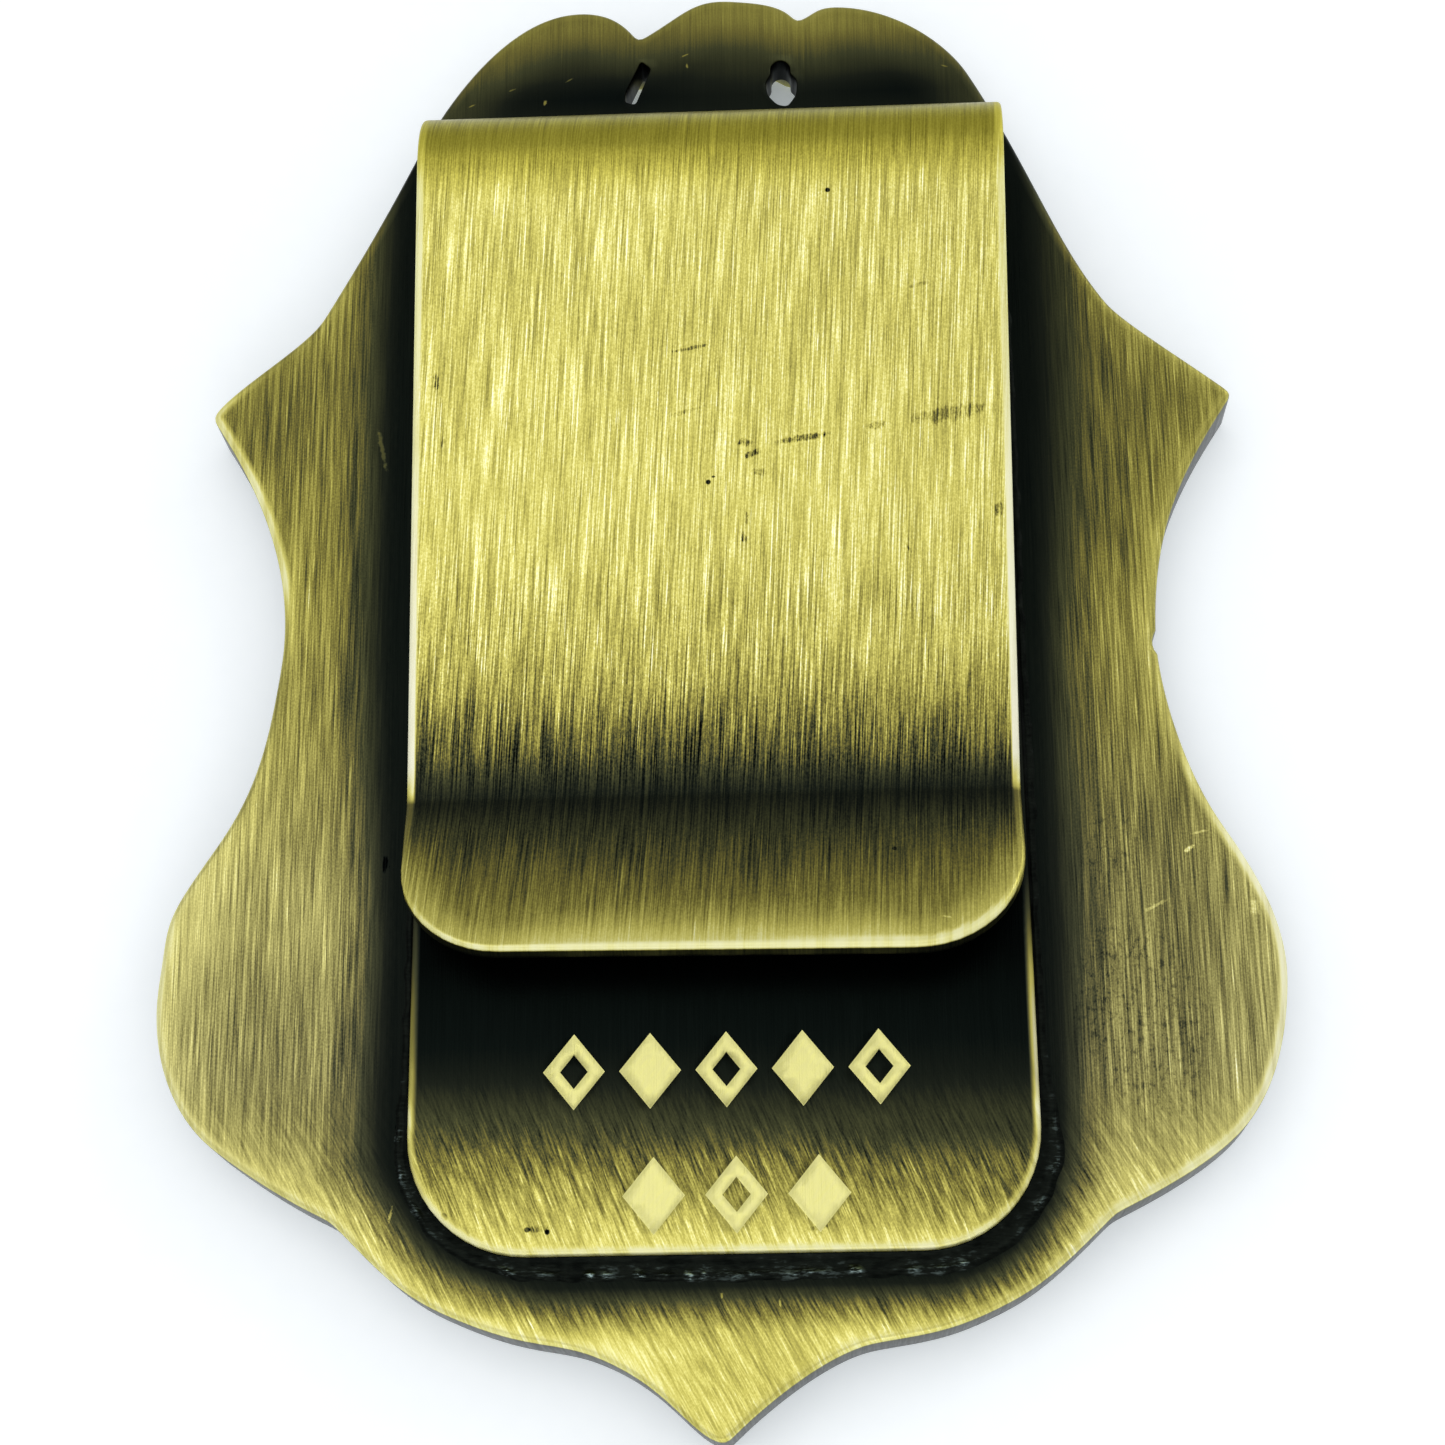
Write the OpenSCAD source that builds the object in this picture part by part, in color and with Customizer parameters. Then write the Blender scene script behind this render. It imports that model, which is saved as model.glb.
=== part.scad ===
// A badge-backed money clip, in millimetres.
// The object lies on its relief face: +Z points out of the back, where the spring clip is,
// +Y points to the crested top of the badge and +X to the right as seen from the clip side.
// The origin is under the middle of the whole object, on the plane it rests on.

/* [Badge plate] */
// overall width of the badge across its two lower bulges
badge_width = 46.5; // [40:0.5:56]
// overall height of the badge from the bottom point to the crest
badge_height = 65.4; // [56:0.2:78]
// full thickness of the casting, from the rim of the relief face to the flat back
badge_thick = 3.0; // [2.4:0.1:4.0]
// depth of the sunken field behind the raised rim on the relief face
field_depth = 1.4; // [0.8:0.1:1.6]
// share of the outline taken by the sunken field (the rest is the raised rim)
field_share = 0.935; // [0.9:0.005:0.955]
// straight steps in each curved stretch of the outline
curve_steps = 6; // [3:1:10]
// width of the broken edge round the flat back
back_edge = 0.18; // [0.05:0.01:0.3]
// width of the broken edge round the rim of the relief face
front_edge = 0.25; // [0.05:0.01:0.4]

/* [Relief on the front face] */
// height of the medallion's centre above or below the middle of the badge
medal_y = -4.0; // [-6:0.5:-2]
// outer radius of the medallion's flat ring
medal_r = 9.5; // [8:0.5:10.5]
// width of that ring
medal_ring = 1.3; // [0.8:0.1:2]
// beads round the medallion
bead_count = 24; // [16:2:30]
// rays in the sunburst round the beads
ray_count = 24; // [16:2:32]
// ribs in the fan under the crest
rib_count = 9; // [5:2:11]

/* [Spring clip strip] */
// width of the strip
strip_width = 25.4; // [20:0.2:28]
// thickness of the strip
strip_thick = 0.8; // [0.6:0.05:1.0]
// Y of the leg's rounded lower end
leg_end_y = -25.4; // [-27:0.1:-23]
// corner radius of the leg's lower end
leg_corner = 4.8; // [2:0.1:6]
// Y of the middle of the hairpin fold
fold_y = 21.4; // [18:0.1:22]
// outer radius of the hairpin fold
fold_r = 2.95; // [2.4:0.05:3.6]
// Y of the line where the arm comes back down to the leg
pinch_y = -6.8; // [-10:0.1:-4]
// room left between arm and leg at the pinch line
pinch_gap = 0.1; // [0.05:0.05:0.3]
// Y of the lip's free end
lip_end_y = -14.1; // [-16:0.1:-12]
// angle at which the lip flares up, in degrees
lip_angle = 19.6; // [12:0.2:26]
// corner radius of the lip's free end
lip_corner = 4.2; // [1:0.1:5]
// inside radius of the bend at the pinch line
bend_r = 0.9; // [0.4:0.1:2]
// sideways shift of the strip on the badge
strip_x = 0.1; // [-0.5:0.05:0.5]

/* [Bright-cut motif on the leg] */
// how deep the motif is cut
motif_depth = 0.05; // [0.02:0.01:0.1]
// height of a lozenge
motif_tall = 3.1; // [2:0.1:3.4]
// width of a lozenge
motif_wide = 2.5; // [1.5:0.1:2.7]
// lozenges in the upper row
motif_upper = 5; // [3:2:5]
// lozenges in the lower row
motif_lower = 3; // [1:2:3]

/* [Solder] */
// thickness of the solder under the leg
solder_thick = 0.1; // [0.05:0.01:0.2]
// how far the bead spreads round the leg
bead_width = 1.1; // [0.5:0.1:1.6]
// how high the bead climbs the edge of the leg
bead_rise = 0.4; // [0.2:0.05:0.6]

/* [Hidden] */
$fn = 64;
brass = [0.62, 0.55, 0.26];
dark_brass = [0.42, 0.38, 0.2];
solder_grey = [0.16, 0.17, 0.17];

// Knots of the badge's outline, counterclockwise from the bottom point:
// [x, y, direction in, direction out, reach in, reach out], lengths in mm, directions in degrees.
point_low = [0.1, -32.8, -8, 45, 1.4, 1.9];
ogee_r = [6.05, -29.0, 9, 9, 1.9, 2.2];
skirt_r = [11.55, -27.4, 27, 27, 2.7, 1.7];
knuckle_r = [15.7, -24.05, 43, 25, 1.8, 1.9];
hip_low_r = [20.5, -21.2, 41, 41, 1.65, 2.35];
hip_r = [23.15, -14.8, 85, 85, 2.45, 2.5];
hip_high_r = [21, -8.05, 121, 121, 2.3, 2.85];
waist_r = [18.75, 0.6, 88, 88, 2.25, 4.7];
tip_r = [22.75, 11.75, 56, 138, 4.6, 2.2];
shoulder_r = [17.5, 16.4, 124, 124, 1.2, 3.7];
neck_r = [11.85, 28.4, 118, 118, 5.7, 1.95];
crest_r = [6, 32.2, 177, 177, 2.6, 1.2];
notch_r = [4.05, 31.45, 203, 117, 1.05, 1.1];
crest_mid = [0.95, 32.7, 174, 174, 1.35, 1.85];
notch_l = [-3.3, 30.7, 211, 123, 2.4, 1.3];
crest_l = [-6.05, 32.3, 180, 180, 1.3, 3.3];
neck_l = [-13.45, 24.85, 246, 246, 3.2, 3.5];
shoulder_l = [-17.45, 16.7, 242, 242, 3.45, 1.55];
tip_l = [-22.25, 11.95, 245, 303, 1.4, 4.25];
waist_l = [-18.7, -0.1, 263, 263, 4.45, 3.15];
hip_high_l = [-21.1, -8.05, 237, 237, 3.1, 4.05];
hip_l = [-23.2, -13.9, 264, 264, 2.85, 2.75];
hip_low_l = [-20.55, -20.9, -37, -37, 2.45, 1.9];
knuckle_l = [-15.75, -23.85, -25, -43, 1.9, 1.8];
skirt_l = [-11.3, -27.5, -25, -25, 2.15, 3.95];
ogee_l = [-4.95, -29.4, -22, -22, 2, 3.25];

knots = [
    point_low, ogee_r, skirt_r, knuckle_r, hip_low_r, hip_r, hip_high_r, waist_r, tip_r,
    shoulder_r, neck_r, crest_r, notch_r, crest_mid, notch_l, crest_l, neck_l,
    shoulder_l, tip_l, waist_l, hip_high_l, hip_l, hip_low_l, knuckle_l, skirt_l, ogee_l
];

function toward(angle, reach) = [cos(angle), sin(angle)] * reach;

function curve_point(a, b, c, d, t) =
    a * pow(1 - t, 3) + b * 3 * t * pow(1 - t, 2) + c * 3 * t * t * (1 - t) + d * pow(t, 3);

// one curved stretch, from knot k to knot m, without its last point
function stretch(k, m) = [
    for (i = [0 : curve_steps - 1])
        curve_point(
            [k[0], k[1]],
            [k[0], k[1]] + toward(k[3], k[5]),
            [m[0], m[1]] - toward(m[2], m[4]),
            [m[0], m[1]],
            i / curve_steps
        )
];

drawn = [for (i = [0 : len(knots) - 1]) each stretch(knots[i], knots[(i + 1) % len(knots)])];
drawn_x = [for (p = drawn) p[0]];
drawn_y = [for (p = drawn) p[1]];
scale_x = badge_width / (max(drawn_x) - min(drawn_x));
scale_y = badge_height / (max(drawn_y) - min(drawn_y));
middle = [(max(drawn_x) + min(drawn_x)) / 2, (max(drawn_y) + min(drawn_y)) / 2];
outline = [for (p = drawn) [(p[0] - middle[0]) * scale_x, (p[1] - middle[1]) * scale_y]];

function unit(v) = v / norm(v);
function left_of(v) = [-v[1], v[0]];

// the outline moved inward by d, with mitred corners
function inset(points, d) = [
    for (i = [0 : len(points) - 1])
        let (
            before = points[(i + len(points) - 1) % len(points)],
            after = points[(i + 1) % len(points)],
            n1 = left_of(unit(points[i] - before)),
            n2 = left_of(unit(after - points[i]))
        )
        points[i] + (n1 + n2) * d / max(1 + n1 * n2, 0.5)
];

field = [for (p = outline) p * field_share];
// the sunken field widens round each piercing, so the piercings stay clear of the rim:
// [x, y, radius]
pockets = [[-3.3, 28.4, 1.5], [3.3, 28.2, 1.6]];

leg_low = badge_thick + solder_thick;
leg_top = leg_low + strip_thick;
axis_z = leg_low + fold_r;
bore_r = fold_r - strip_thick;

// the arm leaves the fold where its straight underside just meets the pinch height
pinch_low = leg_top + pinch_gap;
reach_y = fold_y - pinch_y;
reach_z = axis_z - pinch_low;
arm_angle = atan2(reach_z, reach_y) + asin(bore_r / norm([reach_y, reach_z]));
lip_length = (pinch_y - lip_end_y) / cos(lip_angle);

module badge_blank() {
    translate([0, 0, badge_thick - 0.25])
        linear_extrude(0.25)
            polygon(inset(outline, back_edge));
    translate([0, 0, 0.3])
        linear_extrude(badge_thick - 0.55)
            polygon(outline);
    linear_extrude(0.3)
        polygon(inset(outline, front_edge));
}

module slit() {
    translate([0, 0, -1])
        linear_extrude(badge_thick + 2)
            polygon([[-3.13, 29.5], [-3.86, 27.83], [-3.86, 27.4], [-3.4, 27.25], [-2.68, 29.12]]);
}

module keyhole() {
    translate([3.3, 28.85, -1])
        cylinder(h = badge_thick + 2, r = 0.46);
    translate([0, 0, -1])
        linear_extrude(badge_thick + 2)
            polygon([
                [2.6, 28.2], [2.72, 27.5], [3.15, 27.0], [3.6, 26.9], [4.0, 27.5], [4.05, 28.25],
                [3.6, 28.6], [3.0, 28.6]
            ]);
}

// a small dent in the rim at the right waist
module waist_nick() {
    translate([19.5, 0.2, -1])
        cylinder(h = badge_thick + 2, r = 0.85);
}

module medallion() {
    translate([0, medal_y, 0])
        difference() {
            cylinder(h = field_depth + 0.1, r = medal_r);
            translate([0, 0, -1])
                cylinder(h = field_depth + 2, r = medal_r - medal_ring);
        }
    translate([0, medal_y, 0])
        intersection() {
            translate([0, 0, 28.3])
                sphere(r = 28);
            cylinder(h = field_depth + 0.1, r = medal_r - medal_ring);
        }
    for (i = [0 : bead_count - 1])
        translate([0, medal_y, 0.5])
            rotate([0, 0, i * 360 / bead_count])
                translate([medal_r + 1.1, 0, 0])
                    cylinder(h = field_depth - 0.4, r = 0.5);
}

module sunburst() {
    translate([0, medal_y, field_depth - 0.5])
        for (i = [0 : ray_count - 1])
            rotate([0, 0, (i + 0.5) * 360 / ray_count])
                linear_extrude(0.6)
                    polygon([[medal_r + 2.2, -0.25], [medal_r + 6.6, -0.75], [medal_r + 7.2, 0],
                             [medal_r + 6.6, 0.75], [medal_r + 2.2, 0.25]]);
}

// a plain curved ribbon, centred on direction "mid"
module ribbon(mid, spread, inner, outer) {
    translate([0, medal_y, 0.35])
        rotate([0, 0, mid - spread / 2])
            rotate_extrude(angle = spread)
                translate([inner, 0])
                    square([outer - inner, field_depth - 0.25]);
}

module fan() {
    translate([0.3, 12, 0.6])
        for (i = [0 : rib_count - 1])
            rotate([0, 0, 90 + (i - (rib_count - 1) / 2) * 9.5])
                translate([9.6, -0.4, 0])
                    cube([4.8, 0.8, field_depth - 0.5]);
}

module badge_plate() {
    color(brass)
    difference() {
        union() {
            difference() {
                badge_blank();
                translate([0, 0, -1])
                    linear_extrude(field_depth + 1)
                        union() {
                            polygon(field);
                            for (q = pockets)
                                translate([q[0], q[1]])
                                    circle(r = q[2]);
                        }
            }
            medallion();
            sunburst();
            ribbon(90, 62, 17.6, 20.4);
            ribbon(270, 44, 17.6, 20.4);
            fan();
        }
        slit();
        keyhole();
        waist_nick();
    }
}

// the leg's plan: square at the fold, rounded at the free end, grown by g all round
module leg_plan(g) {
    half = strip_width / 2;
    union() {
        translate([-half - g, leg_end_y + leg_corner])
            square([strip_width + 2 * g, fold_y - leg_end_y - leg_corner]);
        translate([-half + leg_corner, leg_end_y - g])
            square([strip_width - 2 * leg_corner, leg_corner + g + 0.01]);
        translate([-half + leg_corner, leg_end_y + leg_corner])
            circle(r = leg_corner + g);
        translate([half - leg_corner, leg_end_y + leg_corner])
            circle(r = leg_corner + g);
    }
}

module solder_film() {
    color(solder_grey)
    translate([strip_x, 0, badge_thick])
        linear_extrude(solder_thick)
            leg_plan(-0.2);
}

module solder_ring(inner, outer, low, rise) {
    translate([strip_x, 0, low])
        linear_extrude(rise)
            difference() {
                leg_plan(outer);
                leg_plan(inner);
            }
}

module solder_bead() {
    color(solder_grey)
    union() {
        solder_ring(-0.2, bead_width, badge_thick, solder_thick);
        solder_ring(0, bead_width * 0.75, badge_thick + solder_thick, bead_rise * 0.35);
        solder_ring(0, bead_width * 0.4, badge_thick + solder_thick + bead_rise * 0.35, bead_rise * 0.4);
    }
}

module lozenge(wide, tall) {
    polygon([[-wide / 2, 0], [0, -tall / 2], [wide / 2, 0], [0, tall / 2]]);
}

// a row of lozenges, hollow and solid in turn
module motif_row(count, pitch, first_hollow) {
    for (i = [0 : count - 1])
        translate([(i - (count - 1) / 2) * pitch, 0])
            difference() {
                lozenge(motif_wide, motif_tall);
                if ((i + first_hollow) % 2 == 1) {
                    lozenge(motif_wide * 0.45, motif_tall * 0.45);
                }
            }
}

module clip_leg() {
    color(brass)
    difference() {
        translate([strip_x, 0, leg_low])
            linear_extrude(strip_thick)
                leg_plan(0);
        translate([0.35, leg_end_y + 7.3, leg_top - motif_depth])
            linear_extrude(1)
                motif_row(motif_upper, 3.08, 1);
        translate([0.7, leg_end_y + 2.25, leg_top - motif_depth])
            linear_extrude(1)
                motif_row(motif_lower, 3.3, 0);
    }
}

// Side profiles of the strip are drawn as [distance along +Y, height] and pushed out along X.
module across() {
    translate([strip_x - strip_width / 2, 0, 0])
        rotate([90, 0, 90])
            linear_extrude(strip_width)
                children();
}

module clip_fold() {
    color(brass)
    across()
        translate([fold_y, axis_z])
            difference() {
                circle(r = fold_r);
                circle(r = bore_r);
                // keep only the turn from the leg's end round to the arm's start
                polygon([
                    [0, 0], [0, -3 * fold_r], [-3 * fold_r, -3 * fold_r], [-3 * fold_r, 3 * fold_r],
                    toward(90 + arm_angle, 3 * fold_r)
                ]);
            }
}

// where the arm's straight run begins and ends, on its underside
arm_root = [fold_y, axis_z] + toward(90 + arm_angle, bore_r);
bend_back = (bend_r + strip_thick) * tan((arm_angle + lip_angle) / 2);
arm_run = norm([pinch_y, pinch_low] - arm_root) - bend_back;
arm_way = [-cos(arm_angle), -sin(arm_angle)];
arm_up = [-sin(arm_angle), cos(arm_angle)];
arm_foot = arm_root + arm_way * arm_run;

module clip_arm() {
    color(brass)
    across()
        polygon([
            arm_root, arm_foot, arm_foot + arm_up * strip_thick, arm_root + arm_up * strip_thick
        ]);
}

lip_way = [-cos(lip_angle), sin(lip_angle)];
lip_up = [sin(lip_angle), cos(lip_angle)];
lip_foot = [pinch_y, pinch_low] + lip_way * bend_back;
bend_centre = arm_foot + arm_up * (strip_thick + bend_r);

// the bend at the pinch line, from the arm's end to the lip's root
module clip_bend() {
    color(dark_brass)
    across()
        difference() {
            translate(bend_centre)
                circle(r = bend_r + strip_thick);
            translate(bend_centre)
                circle(r = bend_r);
            polygon([
                bend_centre, bend_centre - arm_up * 9, bend_centre - arm_up * 9 - arm_way * 9,
                bend_centre + [9, 9], bend_centre + [-9, 9], bend_centre - lip_up * 9 + lip_way * 9,
                bend_centre - lip_up * 9
            ]);
        }
}

// the flared lip lies flat in its own plane, then is tilted up about its root
module clip_lip() {
    flat = lip_length - bend_back;
    half = strip_width / 2;
    color(brass)
    translate([strip_x, lip_foot[0], lip_foot[1]])
        rotate([-lip_angle, 0, 0])
            linear_extrude(strip_thick)
                intersection() {
                    translate([-half, -flat])
                        square([strip_width, flat]);
                    union() {
                        translate([-half, -flat + lip_corner])
                            square([strip_width, flat]);
                        translate([-half + lip_corner, -flat])
                            square([strip_width - 2 * lip_corner, flat]);
                        translate([-half + lip_corner, -flat + lip_corner])
                            circle(r = lip_corner);
                        translate([half - lip_corner, -flat + lip_corner])
                            circle(r = lip_corner);
                    }
                }
}

badge_plate();
solder_film();
solder_bead();
clip_leg();
clip_fold();
clip_arm();
clip_bend();
clip_lip();
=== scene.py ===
import math
from functools import partialmethod

import bpy
import bmesh
import numpy as np
from mathutils import Matrix, Vector
from mathutils.geometry import delaunay_2d_cdt
from mathutils.kdtree import KDTree


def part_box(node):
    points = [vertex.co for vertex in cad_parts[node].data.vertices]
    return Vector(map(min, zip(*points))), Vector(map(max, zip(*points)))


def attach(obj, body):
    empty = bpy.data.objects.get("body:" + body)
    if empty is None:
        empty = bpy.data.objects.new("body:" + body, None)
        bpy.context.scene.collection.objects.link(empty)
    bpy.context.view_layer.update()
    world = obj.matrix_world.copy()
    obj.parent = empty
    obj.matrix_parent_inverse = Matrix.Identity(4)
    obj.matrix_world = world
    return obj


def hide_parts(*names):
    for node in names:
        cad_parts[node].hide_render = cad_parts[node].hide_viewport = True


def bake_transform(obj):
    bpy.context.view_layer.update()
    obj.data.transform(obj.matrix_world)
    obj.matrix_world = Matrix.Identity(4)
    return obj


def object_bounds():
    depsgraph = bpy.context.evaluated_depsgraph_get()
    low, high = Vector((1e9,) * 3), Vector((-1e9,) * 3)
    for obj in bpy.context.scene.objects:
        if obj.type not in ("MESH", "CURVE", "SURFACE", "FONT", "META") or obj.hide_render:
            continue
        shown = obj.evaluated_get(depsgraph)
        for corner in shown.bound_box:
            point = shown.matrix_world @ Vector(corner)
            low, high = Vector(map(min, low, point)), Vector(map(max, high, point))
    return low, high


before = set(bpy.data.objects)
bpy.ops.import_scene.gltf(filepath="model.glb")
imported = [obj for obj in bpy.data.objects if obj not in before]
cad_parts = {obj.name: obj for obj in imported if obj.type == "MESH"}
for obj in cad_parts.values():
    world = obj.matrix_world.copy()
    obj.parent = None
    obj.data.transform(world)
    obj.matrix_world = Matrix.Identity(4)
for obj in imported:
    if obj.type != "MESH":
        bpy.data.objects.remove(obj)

# The badge-backed money clip, seen from its clip side. Sizes below are millimetres; every mesh
# is turned into metres as it is made.
MM = 0.001
scene = bpy.context.scene
cad_lo, cad_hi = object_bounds()
plate_lo, plate_hi = (np.array(c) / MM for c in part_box("badge_plate"))
leg_lo, leg_hi = (np.array(c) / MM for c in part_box("clip_leg"))
fold_hi = np.array(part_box("clip_fold")[1]) / MM

BACK_Z = plate_hi[2]
LEG_LOW, LEG_TOP = leg_lo[2], leg_hi[2]
THICK = LEG_TOP - LEG_LOW
STRIP_X = (leg_lo[0] + leg_hi[0]) / 2
HALF = (leg_hi[0] - leg_lo[0]) / 2
LEG_END = leg_lo[1]
LEG_CORNER = 4.8
LEG_SHIFT = 0.07  # the leg and the fold's root sit a hair to the right
FOLD_R = 2.95
FOLD_Y = fold_hi[1] - FOLD_R
LEG_LEN = FOLD_Y - LEG_END
AXIS_Z = LEG_LOW + FOLD_R
PINCH_Y, PINCH_LOW = -6.8, 4
LIP_END = -14.1
LIP_ANGLE = math.radians(19.6)
LIP_CORNERS = (4.12, 4.65)  # left and right
BEND_R = 0.9
FIELD_DEPTH, FIELD_SHARE = 1.4, 0.935
MEDAL_Y = -4
LOOP_STEP = 0.22  # between points of an outline


# ---- small geometry helpers
def smooth(a, b, x):
    t = share((np.asarray(x, float) - a) / (b - a))
    return t * t * (3 - 2 * t)


def share(x):
    return np.clip(x, 0, 1)


def wave(x, y, seed):
    """A smooth bumpy value between about -1 and 1, made of a few crossed waves."""
    out = 0
    for k in range(4):
        a = seed * 1.7 + k * 2.399
        f = 1 + 0.63 * k
        out = out + np.sin(f * (x * math.cos(a) + y * math.sin(a)) + 3.1 * a) / (1 + 0.5 * k)
    return out / 2.3


def nearest(pts, poly):
    """For each point, the index of the nearest point of poly, and its distance."""
    tree = KDTree(len(poly))
    for i, (x, y) in enumerate(poly):
        tree.insert((x, y, 0), i)
    tree.balance()
    found = [tree.find((x, y, 0))[1:] for x, y in pts]
    return np.array([i for i, _ in found]), np.array([d for _, d in found])


def seg_dist(pts, poly):
    """Distance from each point to a closed polyline with even steps."""
    near = nearest(pts, poly)[0]
    out = np.full(len(pts), 1e9)
    for a, b in ((near - 1, near), (near, (near + 1) % len(poly))):
        a, ab = poly[a], poly[b] - poly[a]
        t = share(((pts - a) * ab).sum(1) / np.maximum((ab * ab).sum(1), 1e-12))
        out = np.minimum(out, np.linalg.norm(pts - a - t[:, None] * ab, axis=1))
    return out


def inside(pts, poly):
    """True for the points inside the closed outline."""
    a, b = poly, np.roll(poly, -1, 0)
    out = np.zeros(len(pts), bool)
    for i in range(0, len(pts), 4000):
        p = pts[i:i + 4000, None, :]
        cross = (a[:, 1] > p[..., 1]) != (b[:, 1] > p[..., 1])
        with np.errstate(divide="ignore", invalid="ignore"):
            x = a[:, 0] + (p[..., 1] - a[:, 1]) * (b[:, 0] - a[:, 0]) / (b[:, 1] - a[:, 1])
        out[i:i + 4000] = (cross & (p[..., 0] < x)).sum(1) % 2 == 1
    return out


def beyond(a, b):
    """How far out of a corner a point lies, from how far it is past each of the two sides."""
    return np.hypot(np.maximum(a, 0), np.maximum(b, 0))


def level_loop(loop, z):
    return np.column_stack([loop, np.full(len(loop), z)])


def rounding(r, level, way):
    """(inset, height) down a rounded edge of radius r, from the flat at this level outwards."""
    return [(r * (1 - math.sin(a)), level + way * r * (1 - math.cos(a)))
            for a in map(math.radians, (0, 22.5, 45, 67.5, 90))]


def signed(pts, poly):
    """Distance to the outline, positive inside it."""
    return np.where(inside(pts, poly), 1, -1) * seg_dist(pts, poly)


def inset(poly, d):
    """The closed outline moved inward by d, with the same number of points."""
    ahead = np.roll(poly, -1, 0) - poly
    e = ahead / np.linalg.norm(ahead, axis=1)[:, None]
    n2 = np.stack([-e[:, 1], e[:, 0]], 1)
    n1 = np.roll(n2, 1, 0)
    out = poly + (n1 + n2) * d / np.maximum(1 + (n1 * n2).sum(1), 0.5)[:, None]
    for _ in range(12):  # where a tight tip folded over, its points are drawn together
        back = ((np.roll(out, -1, 0) - out) * ahead).sum(1) < 0
        if not back.any():
            break
        for i in np.nonzero(back)[0]:
            j = (i + 1) % len(out)
            out[i] = out[j] = (out[i] + out[j]) / 2
    return out


def soften(poly, turns):
    """Rounds a closed outline's corners a little, once for each turn."""
    for _ in range(turns):
        poly = 0.25 * np.roll(poly, 1, 0) + 0.5 * poly + 0.25 * np.roll(poly, -1, 0)
    return poly


def resample(poly, step):
    """The closed outline again, with points an even step apart."""
    closed = np.vstack([poly, poly[:1]])
    run = np.concatenate([[0], np.cumsum(np.linalg.norm(np.diff(closed, axis=0), axis=1))])
    n = int(round(run[-1] / step))
    at = np.linspace(0, run[-1], n, endpoint=False)
    return np.stack([np.interp(at, run, closed[:, k]) for k in (0, 1)], 1)


def grid_points(lo, hi, step, margin, loops, holes=()):
    """Grid points inside the first loop, outside the holes, and clear of all of them."""
    xs = np.arange(lo[0] + step / 2, hi[0], step)
    ys = np.arange(lo[1] + step / 2, hi[1], step)
    gx, gy = np.meshgrid(xs, ys)
    gx[1::2] += step / 2
    pts = np.stack([gx.ravel(), gy.ravel()], 1)
    pts = pts[inside(pts, loops[0])]
    for loop in (*loops, *holes):
        pts = pts[seg_dist(pts, loop) > margin]
    for hole in holes:
        pts = pts[~inside(pts, hole)]
    return pts


def triangulate(loops, extra, holes=()):
    """Triangles inside the first loop, with the others as edges, and none in the holes."""
    verts, edges = [], []
    for loop in list(loops) + list(holes):
        n0, n = len(verts), len(loop)
        verts += [Vector(p) for p in loop]
        edges += [(n0 + i, n0 + (i + 1) % n) for i in range(n)]
    verts += [Vector(p) for p in extra]
    made = delaunay_2d_cdt(verts, edges, [], 1, 1e-7)
    xy, faces = np.array([v[:] for v in made[0]]), [tuple(f) for f in made[2]]
    centre = np.array([xy[list(f)].mean(0) for f in faces])
    keep = np.ones(len(faces), bool)
    for hole in holes:
        keep &= ~inside(centre, hole)
    return xy, [f for f, k in zip(faces, keep) if k]


class Solid:
    """Gathers points and faces in millimetres and makes one object of them."""

    def __init__(self):
        self.points, self.faces, self.kinds = [], [], []

    def add(self, pts):
        n = len(self.points)
        self.points += [tuple(p) for p in pts]
        return n

    def face(self, ids, kind=0):
        self.faces.append(tuple(ids))
        self.kinds.append(kind)

    def sheet(self, pts, faces, kinds=None, flip=False):
        n = self.add(pts)
        for f, kind in zip(faces, [0] * len(faces) if kinds is None else kinds):
            ids = [n + i for i in f]
            self.face(ids[::-1] if flip else ids, kind)

    def band(self, rings):
        """Joins closed rings of equal length, one after the other."""
        starts = [self.add(r) for r in rings]
        n = len(rings[0])
        for a, b in zip(starts, starts[1:]):
            for i in range(n):
                j = (i + 1) % n
                self.face((a + i, a + j, b + j, b + i))
        return starts

    def make(self, name, materials, sharp=40, weld=2e-4):
        mesh = bpy.data.meshes.new(name)
        mesh.from_pydata([Vector(p) * MM for p in self.points], [], self.faces)
        mesh.polygons.foreach_set("material_index", self.kinds)
        bm = bmesh.new()
        bm.from_mesh(mesh)
        bmesh.ops.remove_doubles(bm, verts=bm.verts, dist=weld * MM)
        bmesh.ops.dissolve_degenerate(bm, edges=bm.edges, dist=1e-8)
        loose = [v for v in bm.verts if not v.link_faces]
        bmesh.ops.delete(bm, geom=loose, context="VERTS")
        bmesh.ops.recalc_face_normals(bm, faces=bm.faces)
        open_edges = sum(len(e.link_faces) != 2 for e in bm.edges)
        print(name, "points", len(bm.verts), "faces", len(bm.faces), "open edges", open_edges)
        bm.to_mesh(mesh)
        bm.free()
        for m in materials:
            mesh.materials.append(m)
        mesh.polygons.foreach_set("use_smooth", [True] * len(mesh.polygons))
        mesh.set_sharp_from_angle(angle=math.radians(sharp))
        obj = bpy.data.objects.new(name, mesh)
        scene.collection.objects.link(obj)
        return obj


def points_of(obj):
    co = np.empty(len(obj.data.vertices) * 3, np.float32)
    obj.data.vertices.foreach_get("co", co)
    return co.reshape(-1, 3).astype(float) / MM


def paint(obj, name, values):
    attr = obj.data.attributes.new(name, "FLOAT", "POINT")
    attr.data.foreach_set("value", np.asarray(values, np.float32))


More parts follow.
